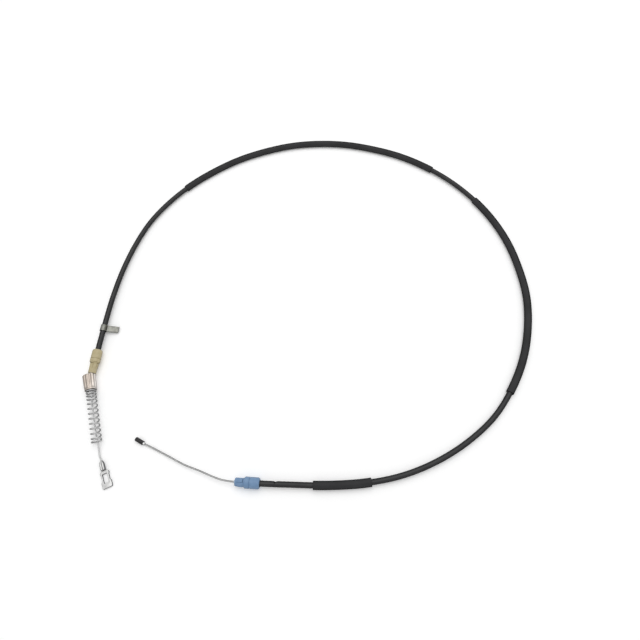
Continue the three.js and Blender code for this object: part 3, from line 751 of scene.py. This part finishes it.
def painted_upper_shade(made, dark):
    """Painted shade: darker metal by the angle round the frame's x axis, which on the cup is its upper side.
    """
    place = node(made, "ShaderNodeTexCoord")
    parts = node(made, "ShaderNodeSeparateXYZ")
    angle = node(made, "ShaderNodeMath", operation="ARCTAN2")
    times = node(made, "ShaderNodeMath", operation="MULTIPLY")
    times.inputs[1].default_value = PAINTED_SHADE_WAVES
    wave = node(made, "ShaderNodeMath", operation="COSINE")
    fade = ramp_between(made, 0.0, dark, 0.6, WHITE)
    join(made, place, "Object", parts, "Vector")
    join(made, parts, "Z", angle, 0)
    join(made, parts, "Y", angle, 1)
    join(made, angle, "Value", times, 0)
    join(made, times, "Value", wave, 0)
    join(made, wave, "Value", fade, "Fac")
    colour_times(made, fade)


def painted_wall_shade(made, dark):
    """Painted shade: darker metal on the walls of a flat sheet, whose surface faces sideways, away from the
    light above.
    """
    shape = node(made, "ShaderNodeNewGeometry")
    parts = node(made, "ShaderNodeSeparateXYZ")
    fade = ramp_between(made, 0.45, dark, 0.9, WHITE)
    join(made, shape, "Normal", parts, "Vector")
    join(made, parts, "Z", fade, "Fac")
    colour_times(made, fade)


JACKET = jacket_look()
SLEEVE = sleeve_look()
LINER = plastic_look("liner_plastic", (0.7, 0.7, 0.68), (0.8, 0.8, 0.78), roughness=0.5)
ARMOUR = metal_look("armour_steel", (0.3, 0.3, 0.31), (0.45, 0.45, 0.46), roughness=0.4)
ROPE = metal_look("rope_steel", (0.33, 0.33, 0.33), (0.45, 0.45, 0.45), roughness=0.42, metallic=0.75)
PALE_ROPE = metal_look("pale_rope_steel", (0.6, 0.6, 0.6), (0.72, 0.72, 0.72), roughness=0.45, metallic=0.6)
FERRULE = metal_look("ferrule_steel", (0.42, 0.42, 0.42), (0.55, 0.55, 0.55), roughness=0.35)
CLIP = metal_look("clip_zinc", (0.17, 0.17, 0.155), (0.25, 0.25, 0.225), roughness=0.42)
TAN = plastic_look("tan_plastic", (0.47, 0.40, 0.23), (0.52, 0.45, 0.28), roughness=0.5)
BLUE = plastic_look("blue_plastic", (0.16, 0.27, 0.44), (0.19, 0.31, 0.49), roughness=0.42)
PALE_SEAL = plastic_look("seal_pale", (0.5, 0.6, 0.7), (0.6, 0.7, 0.78), roughness=0.5)
RUBBER = plastic_look("seal_rubber", (0.02, 0.02, 0.02), (0.03, 0.03, 0.03), roughness=0.7)
CUP = metal_look("cup_zinc", (0.60, 0.56, 0.52), (0.72, 0.68, 0.64), roughness=0.38)
FLUTED = metal_look("fluted_zinc", (0.72, 0.67, 0.63), (0.84, 0.79, 0.75), roughness=0.38)
# Painted shade on the cup's upper side
painted_upper_shade(FLUTED, dark=(0.55, 0.51, 0.47))
# The spring's dark colour is painted shade at the sides of its wire
SPRING = metal_look(
    "spring_steel", (0.45, 0.45, 0.45), (0.60, 0.60, 0.60), roughness=0.38, dark=(0.1, 0.1, 0.1)
)
EYE = metal_look("eye_steel", (0.50, 0.50, 0.50), (0.62, 0.62, 0.61), roughness=0.45)
# Painted shade on the walls of the eye and the clip
painted_wall_shade(EYE, dark=(0.3, 0.3, 0.31))
painted_wall_shade(CLIP, dark=(0.45, 0.45, 0.4))
BARREL = metal_look("barrel_steel", (0.015, 0.014, 0.015), (0.03, 0.028, 0.03), roughness=0.35, metallic=0.5)
SWAGE = metal_look("swage_zinc", (0.6, 0.6, 0.6), (0.7, 0.7, 0.7), roughness=0.4)

INNER_LOOKS = {
    "conduit_armour": (ARMOUR, "armour_steel"),
    "conduit_liner": (LINER, "liner_plastic"),
    "inner_rope": (ROPE, "rope_steel"),
    "rear_ferrule": (FERRULE, "ferrule_steel"),
    "front_ferrule": (FERRULE, "ferrule_steel"),
    "rear_wiper_seal": (RUBBER, "seal_rubber"),
}


def dress_inner_pieces():
    for name, (made, slot) in INNER_LOOKS.items():
        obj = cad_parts[name]
        obj.data.materials.clear()
        obj.data.materials.append(made)


# Conduit and sleeves

def build_conduit():
    line = stretch(route, CONDUIT_START, CONDUIT_END, CONDUIT_STEP)
    place = lengths_along(line)
    angle = np.arange(CONDUIT_SIDES) / CONDUIT_SIDES * TURN
    wave = np.cos(RIB_STARTS * (angle[None, :] - TURN * place[:, None] / RIB_PITCH))
    radius = JACKET_RADIUS - RIB_HEIGHT / 2 + wave * RIB_HEIGHT / 2
    vertices, faces = solid_tube(line, radius, CONDUIT_SIDES)
    obj = piece("conduit", vertices, faces, JACKET, stands_for=["conduit_jacket"])
    cut_nick(obj)
    return obj, (line - ORIGIN) * MM


def route_place(distance):
    """A place on the route, measured from the rear connector's mouth, and the heading there."""
    near = at_lengths(route, [REAR_MOUTH_AT + distance, REAR_MOUTH_AT + distance + 1])
    return near[0], heading_of(near[0], near[1])


def cut_nick(obj):
    middle, heading = route_place(NICK_AT)
    half = NICK_LENGTH / 2
    outer = JACKET_RADIUS + 1
    wedge = [
        (-half, outer),
        (-half, NICK_FLOOR),
        (-half + NICK_FLAT, NICK_FLOOR),
        (half, JACKET_RADIUS),
        (half, outer),
    ]
    vertices, faces = prism(wedge, -outer, outer)
    cut_away(obj, rotated_x(vertices, NICK_TILT), faces, placing(middle, heading + math.pi))


def build_sleeves():
    made = []
    for name, (start, length, radius) in SLEEVES.items():
        from_here = REAR_MOUTH_AT + start
        line = stretch(route, from_here, from_here + length, SLEEVE_STEP)
        vertices, faces = hollow_tube(line, radius, SLEEVE_BORE, SLEEVE_SIDES, SLEEVE_EDGE)
        obj = piece(name + "_skin", vertices, faces, SLEEVE, stands_for=[name])
        made.append(obj)
    return made


# Clip

CLIP_WIDTH = 10.0
CLIP_SHEET = 0.9
CLIP_TAB_END = 22.3
CLIP_DROOP = math.radians(-14)
CLIP_GAP = 0.15
CLIP_EDGE = 0.2


def clip_outline():
    """The sheet seen along the conduit: round it once, with both ends side by side as a tab."""
    inner = SLEEVE_BORE
    outer = inner + CLIP_SHEET
    back = CLIP_GAP + CLIP_SHEET
    outer_turn = math.asin(back / outer)
    inner_turn = math.asin(CLIP_GAP / inner)
    points = [(CLIP_TAB_END, back)]
    for a in np.linspace(outer_turn, TURN - outer_turn, ARC_STEPS):
        points.append((outer * math.cos(a), outer * math.sin(a)))
    points += [(CLIP_TAB_END, -back), (CLIP_TAB_END, -CLIP_GAP)]
    for a in np.linspace(TURN - inner_turn, inner_turn, ARC_STEPS):
        points.append((inner * math.cos(a), inner * math.sin(a)))
    points.append((CLIP_TAB_END, CLIP_GAP))
    return points


def build_clip():
    middle, heading = route_place(CLIP_AT)
    place = placing(middle, heading - math.pi / 2)
    place = place @ Matrix.Rotation(math.pi / 2, 4, "X") @ Matrix.Rotation(CLIP_DROOP, 4, "Z")
    vertices, faces = prism(clip_outline(), -CLIP_WIDTH / 2, CLIP_WIDTH / 2)
    obj = piece("clip_band", vertices, faces, CLIP, place=place, stands_for=["conduit_clip"])
    outward(obj.data)
    soften(obj, CLIP_EDGE)
    return obj


# Connectors

def connector_outline(length, pocket, body, collar, edge, collar_at, shoulder_at):
    """Half of the connector's section: mouth, body, groove, collar, shoulder, neck and its bores."""
    outline = [(0, SLEEVE_BORE)]
    for i in range(EDGE_STEPS + 1):
        turn = i / EDGE_STEPS * math.pi / 2
        outline.append((edge * (1 - math.cos(turn)), body - edge * (1 - math.sin(turn))))
    groove = collar_at - GROOVE_LENGTH
    shoulder_end = shoulder_at + SHOULDER_LENGTH
    pocket_radius, pocket_depth = pocket
    outline += [
        (groove, body),
        (groove + GROOVE_SLOPE, body - GROOVE_DEPTH),
        (collar_at - GROOVE_SLOPE, body - GROOVE_DEPTH),
        (collar_at, collar - GROOVE_SLOPE),
        (collar_at + 2 * GROOVE_SLOPE, collar),
        (shoulder_at - CONNECTOR_BEVEL, collar),
        (shoulder_at, collar - CONNECTOR_BEVEL),
        (shoulder_at, SHOULDER_RADIUS),
        (shoulder_end, SHOULDER_RADIUS),
        (shoulder_end + GROOVE_SLOPE, NECK_RADIUS + SHOULDER_FOOT),
        (shoulder_end + CONNECTOR_BEVEL, NECK_RADIUS),
        (length - CONNECTOR_BEVEL, NECK_RADIUS),
        (length, NECK_RADIUS - CONNECTOR_BEVEL),
        (length, pocket_radius),
        (length - pocket_depth, pocket_radius),
        (length - pocket_depth, ROPE_PASSAGE),
        (FERRULE_END, ROPE_PASSAGE),
        (FERRULE_END, FERRULE_RADIUS),
        (FERRULE_START, FERRULE_RADIUS),
        (FERRULE_START, SLEEVE_BORE),
    ]
    return outline


def finger_slot(start):
    """A U-shaped slot that frees a finger, drawn as seen from outside, and its depth."""
    half = FINGER_WIDTH / 2
    end = start + FINGER_SLOT + FINGER_LENGTH
    wide = half + FINGER_SLOT
    outline = [
        (start, -wide),
        (end, -wide),
        (end, -half),
        (start + FINGER_SLOT, -half),
        (start + FINGER_SLOT, half),
        (end, half),
        (end, wide),
        (start, wide),
    ]
    return prism(outline, NECK_RADIUS - FINGER_SLOT_DEPTH, NECK_RADIUS + SLOT_REACH)


def finger_catch(start):
    """The finger inside its slot, with the raised catch at its free end."""
    free = start + FINGER_SLOT
    root = NECK_RADIUS - FINGER_SLOT_DEPTH
    top = NECK_RADIUS + FINGER_RISE
    side = [
        (free, root),
        (free, top - CATCH_SLOPE),
        (free + CATCH_START, top),
        (free + CATCH_END, top),
        (free + FINGER_LENGTH, NECK_RADIUS - CATCH_SINK),
        (free + FINGER_LENGTH, root),
    ]
    half = FINGER_WIDTH / 2 - ROOM
    vertices, faces = prism(side, -half, half)
    return rotated_x(vertices, math.pi / 2), faces


def build_connector(name, made, place, start, finger_turn, outline):
    vertices, faces = turned(outline, CONNECTOR_SIDES)
    obj = piece(name + "_moulding", vertices, faces, made, place=place, stands_for=[name])
    cutters, catches = [], []
    for i in range(FINGERS):
        turn = finger_turn + i * TURN / FINGERS
        for shapes, shape in ((cutters, finger_slot(start)), (catches, finger_catch(start))):
            verts, polys = shape
            shapes.append((rotated_x(verts, turn), polys))
    cut_away(obj, *joined(*cutters), place)
    vertices, faces = joined(*catches)
    fingers = piece(name + "_fingers", vertices, faces, made, place=place)
    outward(fingers.data)
    soften(fingers, FINGER_EDGE)


def seal_outline():
    """Half of the seal's section: a ring in the nose and a lip that tapers to the rope."""
    start = FRONT_LENGTH - SEAL_LENGTH
    bore = ROPE_RADIUS + ROOM
    return [
        (start, bore),
        (start, SEAL_RADIUS),
        (FRONT_LENGTH, SEAL_RADIUS),
        (FRONT_LENGTH, SEAL_LIP_START),
        (FRONT_LENGTH + SEAL_LIP, SEAL_LIP_END),
        (FRONT_LENGTH + SEAL_LIP, bore),
    ]


def build_front_connector():
    place = placing(FRONT_MOUTH, FRONT_HEADING)
    outline = connector_outline(FRONT_LENGTH, FRONT_POCKET, **FRONT_FORM)
    turn = FRONT_FINGER_TURN
    build_connector("front_connector", BLUE, place, FRONT_FINGERS_AT, turn, outline)
    vertices, faces = turned(filleted(seal_outline(), SEAL_EDGE))
    seal = piece("front_seal", vertices, faces, PALE_SEAL, place=place, stands_for=["front_wiper_seal"])


def build_rear_connector():
    place = placing(REAR_MOUTH, REAR_HEADING)
    outline = connector_outline(REAR_LENGTH, REAR_POCKET, **REAR_FORM)
    turn = REAR_FINGER_TURN
    build_connector("rear_connector", TAN, place, REAR_FINGERS_AT, turn, outline)


# Spring end

def build_guide():
    start = REAR_LENGTH - GUIDE_IN_CONNECTOR
    end = REAR_LENGTH + GUIDE_SHOWN + GUIDE_IN_CUP
    outline = [(start, GUIDE_BORE), (start, GUIDE_RADIUS), (end, GUIDE_RADIUS), (end, GUIDE_BORE)]
    vertices, faces = turned(filleted(outline, GUIDE_EDGE))
    place = placing(REAR_MOUTH, REAR_HEADING)
    obj = piece("guide", vertices, faces, CUP, place=place, stands_for=["guide_tube"])


def cup_rings():
    """Rings of the cup from the hole in its closed face round the outside to the seat of the spring."""
    count = SIDES_A_FLUTE * CUP_FLUTES
    angle = np.arange(count) / count * TURN
    flute = np.cos(CUP_FLUTES * angle)
    flute = np.sign(flute) * np.abs(flute) ** FLUTE_SHARPNESS
    middle_of_hole = np.array([0.0, CUP_SIDE_OFFSET, REAR_MOUTH[2] - CUP_HEIGHT])

    def outside(share):
        middle = CUP_TOP_RADIUS + (CUP_MOUTH_RADIUS - CUP_TOP_RADIUS) * share
        fade = 1 if share < FLUTES_END else (1 - share) / (1 - FLUTES_END)
        return middle + CUP_FLUTE_DEPTH / 2 * fade * flute

    hole = GUIDE_RADIUS + ROOM
    lip = CUP_LENGTH - CUP_LIP_LENGTH
    groove_end = lip + LIP_GROOVE_LENGTH
    seat = CUP_LENGTH - CUP_SEAT_DEPTH
    spring_room = SPRING_RADIUS + SPRING_ROOM
    shares = np.linspace(FLUTES_FROM, FLUTES_TO, FLUTE_RINGS)
    round_hole = [(CUP_HOLE_DEPTH, hole), (CUP_HOLE_BEVEL, hole), (0.0, hole + CUP_HOLE_EDGE)]
    round_axis = [
        (0.0, outside(0) - CUP_EDGE_DEPTH),
        (CUP_EDGE, outside(0) - CUP_EDGE),
        (CUP_EDGE_DEPTH, outside(FLUTES_START)),
        *[(share * lip, outside(share)) for share in shares],
        (lip - CUP_EDGE, outside(1) - LIP_STEP),
        (lip, outside(1) - LIP_GROOVE),
        (lip, CUP_LIP_RADIUS - LIP_GROOVE),
        (groove_end, CUP_LIP_RADIUS - LIP_GROOVE),
        (groove_end + LIP_EDGE, CUP_LIP_RADIUS - ROOM),
        (groove_end + LIP_EDGE_LENGTH, CUP_LIP_RADIUS),
        (CUP_LENGTH - LIP_BEVEL, CUP_LIP_RADIUS),
        (CUP_LENGTH, CUP_LIP_RADIUS - LIP_EDGE),
        (CUP_LENGTH, spring_room + ROOM),
        (CUP_LENGTH - LIP_EDGE, spring_room),
        (seat, spring_room),
        (seat, CUP_BORE),
        (CUP_BORE_END, CUP_BORE),
    ]
    rings = []
    for middle, sizes in ((middle_of_hole, round_hole), (np.zeros(3), round_axis)):
        for x, radius in sizes:
            y, z = radius * np.cos(angle), radius * np.sin(angle)
            rings.append(np.stack([np.full(count, x), y, z], axis=1) + middle)
    return np.concatenate(rings), grid_faces(len(rings), count)


def build_cup():
    vertices, faces = cup_rings()
    place = placing(CUP_TOP, CUP_HEADING)
    obj = piece("cup", vertices, flipped(faces), FLUTED, place=place, stands_for=["spring_cup"])


def spring_line():
    turns = np.linspace(0, SPRING_TURNS[-1], SPRING_TURNS[-1] * STEPS_A_TURN + 1)
    start = SPRING_PLACES[0]
    forward = np.interp(turns, SPRING_TURNS, SPRING_PLACES) - start
    radius = SPRING_RADIUS - SPRING_WIRE
    y = radius * np.cos(-TURN * turns)
    z = radius * np.sin(-TURN * turns)
    x = start + forward * math.cos(SPRING_DROOP) + z * math.sin(SPRING_DROOP)
    z = z * math.cos(SPRING_DROOP) - forward * math.sin(SPRING_DROOP)
    return np.stack([x, y, z], axis=1)


def coil_rings(line, axis_points, radius, sides):
    """Rings round a coil, turned by the outward direction from its own axis."""
    tangent = directions(line)
    out = line - axis_points
    out -= np.sum(out * tangent, axis=1)[:, None] * tangent
    out /= np.linalg.norm(out, axis=1)[:, None]
    side = np.cross(tangent, out)
    angle = np.arange(sides) / sides * TURN
    rings = line[:, None, :] + radius * (
        np.cos(angle)[None, :, None] * out[:, None, :] + np.sin(angle)[None, :, None] * side[:, None, :]
    )
    return rings.reshape(-1, 3)


def build_spring():
    line = spring_line()
    axis = line.copy()
    axis[:, 1] = 0
    start = line[0, 0]
    axis[:, 2] = -(line[:, 0] - start) * math.tan(SPRING_DROOP)
    vertices = coil_rings(line, axis, SPRING_WIRE, SPRING_SIDES)
    faces = capped_faces(len(line), SPRING_SIDES)
    place = placing(CUP_MOUTH, SPRING_HEADING)
    obj = piece("coil", vertices, faces, SPRING, place=place, stands_for=["return_spring"])
    outward(obj.data)


# Eye

def mirrored(half):
    return [*half, *[(x, -y) for x, y in reversed(half)]]


def eye_outline():
    rail = EYE_WINDOW_HALF + EYE_RAIL
    window = EYE_TOP_BAR_AT + EYE_TOP_BAR
    half = list(EYE_TONGUE)
    for turn in np.linspace(EYE_SHOULDER_START, math.pi / 2, 6):
        x = EYE_TOP_BAR_AT + EYE_SHOULDER * (1 - math.cos(turn))
        y = EYE_TOP_BAR_HALF - EYE_SHOULDER * (1 - math.sin(turn))
        half.append((x, y))
    half += [
        (window, EYE_TOP_BAR_HALF),
        (window + EYE_RAIL_STARTS, rail),
        (EYE_WING_AT, rail),
        (EYE_WING_AT, EYE_WING_HALF - EYE_WING_CORNER),
        (EYE_WING_AT + EYE_WING_CORNER, EYE_WING_HALF),
        (EYE_LENGTH - EYE_END_CORNER, EYE_WING_HALF),
        (EYE_LENGTH, EYE_WING_HALF - EYE_END_CORNER),
    ]
    return mirrored(half)


def crimp_rings():
    """Two lobes of sheet folded in over the rope, with a seam between them on top."""
    angle = np.arange(CRIMP_SIDES) / CRIMP_SIDES * TURN
    seam = SEAM_DEPTH * np.exp(-(((angle - TURN / 4) / SEAM_WIDTH) ** 2))
    rings = []
    for x, radius, share in CRIMP_RINGS:
        r = radius * (1 - share * seam)
        z = np.maximum(EYE_CRIMP_RADIUS + r * np.sin(angle), EYE_CRIMP_RADIUS - radius * CRIMP_FLAT)
        rings.append(np.stack([np.full(CRIMP_SIDES, x), r * np.cos(angle), z], axis=1))
    return np.concatenate(rings)


def build_eye():
    place = placing(EYE_START, EYE_HEADING)
    vertices, faces = prism(eye_outline(), 0.0, EYE_PLATE)
    plate = piece("eye_frame", vertices, faces, EYE, body=None, place=place, stands_for=["rear_eye"])
    start = EYE_TOP_BAR_AT + EYE_TOP_BAR
    end = start + EYE_WINDOW_LENGTH
    half = EYE_WINDOW_HALF
    window = [(start, -half), (end, -half), (end, half), (start, half)]
    cut_away(plate, *prism(filleted(window, WINDOW_CORNER), -1, EYE_PLATE + 1), place)
    soften(plate, EYE_EDGE, segments=3)
    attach(plate, "rear_end")
    faces = flipped(capped_faces(len(CRIMP_RINGS), CRIMP_SIDES))
    crimp = piece("eye_crimp", crimp_rings(), faces, EYE, body="rear_end", place=place, sharp=CRIMP_SHARP)
    outward(crimp.data)
    return plate, crimp


# Ropes

def rope_mesh(line):
    """Strands laid round a core, as one mesh."""
    left, up = sides_of(line)
    place = lengths_along(line)
    strand_radius = ROPE_RADIUS / (1 + 1 / math.sin(math.pi / ROPE_STRANDS))
    lay_radius = ROPE_RADIUS - strand_radius
    parts = [solid_tube(line, lay_radius * CORE_SHARE, CORE_SIDES)]
    for k in range(ROPE_STRANDS):
        turn = TURN * (k / ROPE_STRANDS + place / ROPE_PITCH)
        middle = line + lay_radius * (np.cos(turn)[:, None] * left + np.sin(turn)[:, None] * up)
        parts.append(solid_tube(middle, strand_radius * STRAND_PRESS, STRAND_SIDES))
    return joined(*parts)


def build_rope(name, points, made, stands_for):
    """A bare rope along the given points, which rides on no body."""
    line = rounded_curve(points)
    total = lengths_along(line)[-1]
    line = stretch(line, 0, total, ROPE_STEP)
    vertices, faces = rope_mesh(line)
    obj = piece(name, vertices, faces, made, body=None, stands_for=[stands_for], sharp=ROPE_SHARP)
    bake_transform(obj)
    return obj, (line - ORIGIN) * MM, total * MM


def level(point, height):
    return (point[0], point[1], height)


def rear_rope_points():
    """Out of the guide tube, down through the spring and into the crimp of the eye."""
    inside_cup = along(CUP_TOP, CUP_HEADING, CUP_LENGTH / 2, CUP_SIDE_OFFSET / 4)
    # How far along, how far to the left and how far below the cup's middle
    in_spring = [
        (10, 0, 0),
        (SPRING_SHOWN / 2, 0, 0.6),
        (SPRING_SHOWN - 10, 0.3, 2.2),
        (SPRING_SHOWN + 4, 0.9, 3.6),
    ]
    # How far along the eye, and how far above the middle of its crimp
    at_eye = [(-10, 0.9), (0, 0), (EYE_CRIMP_LENGTH - 2, 0)]
    points = [along(ROUTE[0], REAR_HEADING, ROPE_START), GUIDE_END, level(inside_cup, CUP_HEIGHT)]
    for forward, left, drop in in_spring:
        points.append(level(along(CUP_MOUTH, SPRING_HEADING, forward, left), CUP_HEIGHT - drop))
    for forward, rise in at_eye:
        points.append(level(along(EYE_START, EYE_HEADING, forward), EYE_CRIMP_RADIUS + rise))
    return points


def front_rope_points():
    return [
        along(ROUTE[-1], FRONT_HEADING, ROPE_START),
        *FRONT_ROPE,
        BARREL_START,
        along(BARREL_START, BARREL_HEADING, ROPE_IN_BARREL),
    ]


def build_barrel():
    place = placing(BARREL_START, BARREL_HEADING)
    seat_radius = SWAGE_RADIUS + ROOM
    seat_end = SWAGE_IN_BARREL + COUNTERROOM
    groove_end = BARREL_GROOVE_AT + BARREL_GROOVE_LENGTH
    groove_radius = BARREL_RADIUS - BARREL_GROOVE_DEPTH
    outline = [
        (0, seat_radius),
        (0, BARREL_RADIUS),
        (BARREL_GROOVE_AT, BARREL_RADIUS),
        (BARREL_GROOVE_AT + BARREL_GROOVE_SLOPE, groove_radius),
        (groove_end - BARREL_GROOVE_SLOPE, groove_radius),
        (groove_end, BARREL_RADIUS),
        (BARREL_LENGTH - BARREL_BEVEL, BARREL_RADIUS),
        (BARREL_LENGTH, BARREL_RADIUS - BARREL_BEVEL),
        (BARREL_LENGTH, BARREL_MIDDLE),
        (BARREL_BORE_END, BARREL_MIDDLE),
        (BARREL_BORE_END, SWAGE_BORE),
        (seat_end, SWAGE_BORE),
        (seat_end, seat_radius),
    ]
    vertices, faces = turned(filleted(outline, BARREL_EDGE), BARREL_SIDES)
    barrel = piece("barrel", vertices, faces, BARREL, "front_end", place, stands_for=["front_barrel"])
    outline = [
        (-SWAGE_SHOWN, SWAGE_BORE),
        (-SWAGE_SHOWN, SWAGE_RADIUS - SWAGE_TAPER),
        (-SWAGE_SHOWN + SWAGE_TAPER_LENGTH, SWAGE_RADIUS),
        (SWAGE_IN_BARREL, SWAGE_RADIUS),
        (SWAGE_IN_BARREL, SWAGE_BORE),
    ]
    vertices, faces = turned(filleted(outline, BARREL_EDGE), SWAGE_SIDES)
    swage = piece("swage", vertices, faces, SWAGE, "front_end", place, stands_for=["rope_swage"])
    return barrel, swage


# Floor, light and camera

def build_floor():
    """A white sheet, lit a little for the eye alone, which keeps the object's shadow."""
    size = FLOOR_HALF
    corners = [(-size, -size, 0), (size, -size, 0), (size, size, 0), (-size, size, 0)]
    mesh = bpy.data.meshes.new("floor")
    mesh.from_pydata(corners, [], [(0, 1, 2, 3)])
    made = look("floor_paper", WHITE, roughness=0.9)
    shader = shader_of(made)
    glow = node(made, "ShaderNodeMath", operation="MULTIPLY")
    glow.inputs[1].default_value = FLOOR_WHITE
    nodes, links = made.node_tree.nodes, made.node_tree.links
    links.new(shown_rays(nodes, links), glow.inputs[0])
    shader.inputs["Emission Color"].default_value = (*WHITE, 1)
    links.new(glow.outputs[0], shader.inputs["Emission Strength"])
    mesh.materials.append(made)
    floor = bpy.data.objects.new("floor", mesh)
    bpy.context.collection.objects.link(floor)


def area_light(name, place, aim, size, power):
    data = bpy.data.lights.new(name, "AREA")
    data.shape = "DISK"
    data.size = size
    data.energy = power
    lamp = bpy.data.objects.new(name, data)
    lamp.location = place
    lamp.rotation_euler = (Vector(aim) - Vector(place)).to_track_quat("-Z", "Y").to_euler()
    bpy.context.collection.objects.link(lamp)


def shown_rays(nodes, links):
    """1 for what is seen straight, in a gloss or through glass, and 0 for what only lights."""
    path = nodes.new("ShaderNodeLightPath")
    total = path.outputs["Is Camera Ray"]
    for name in ("Is Glossy Ray", "Is Transmission Ray"):
        more = nodes.new("ShaderNodeMath")
        more.operation = "MAXIMUM"
        links.new(total, more.inputs[0])
        links.new(path.outputs[name], more.inputs[1])
        total = more.outputs[0]
    return total


def background(nodes, strength):
    made = nodes.new("ShaderNodeBackground")
    made.inputs["Color"].default_value = (*WHITE, 1)
    made.inputs["Strength"].default_value = strength
    return made


def build_world():
    world = bpy.data.worlds.new("world")
    bpy.context.scene.world = world
    world.use_nodes = True
    nodes, links = world.node_tree.nodes, world.node_tree.links
    nodes.clear()
    out = nodes.new("ShaderNodeOutputWorld")
    mix = nodes.new("ShaderNodeMixShader")
    seen = background(nodes, 1.0)
    lights = background(nodes, WORLD_LIGHT)
    links.new(shown_rays(nodes, links), mix.inputs["Fac"])
    links.new(lights.outputs[0], mix.inputs[1])
    links.new(seen.outputs[0], mix.inputs[2])
    links.new(mix.outputs[0], out.inputs["Surface"])


def build_camera():
    data = bpy.data.cameras.new("camera")
    data.sensor_width = CAMERA_SENSOR
    data.lens = CAMERA_LENS
    data.shift_x = CAMERA_SHIFT
    camera = bpy.data.objects.new("camera", data)
    sin, cos = math.sin(CAMERA_PITCH), math.cos(CAMERA_PITCH)
    forward, up, right = Vector((0, cos, -sin)), Vector((0, sin, cos)), Vector((1, 0, 0))
    turned_right = math.cos(CAMERA_ROLL) * right + math.sin(CAMERA_ROLL) * up
    turned_up = -math.sin(CAMERA_ROLL) * right + math.cos(CAMERA_ROLL) * up
    turn = Matrix((turned_right, turned_up, -forward)).transposed().to_4x4()
    place = (points_array(CAMERA_PLACE) - ORIGIN) * MM
    camera.matrix_world = Matrix.Translation(place) @ turn
    bpy.context.collection.objects.link(camera)
    bpy.context.scene.camera = camera


dress_inner_pieces()
conduit, conduit_path = build_conduit()
sleeves = build_sleeves()
clip = build_clip()
build_rear_connector()
build_front_connector()
build_guide()
build_cup()
build_spring()
eye_pieces = build_eye()
barrel_pieces = build_barrel()
front_rope, front_path, front_total = build_rope(
    "front_wire", front_rope_points(), ROPE, "front_rope"
)
rear_rope, rear_path, rear_total = build_rope(
    "rear_wire", rear_rope_points(), PALE_ROPE, "rear_rope"
)

build_floor()
build_world()
area_light("overhead", LAMP_PLACE, (0, 0, 0), LAMP_SIZE, LAMP_POWER)
build_camera()
bpy.context.scene.view_settings.view_transform = "Standard"
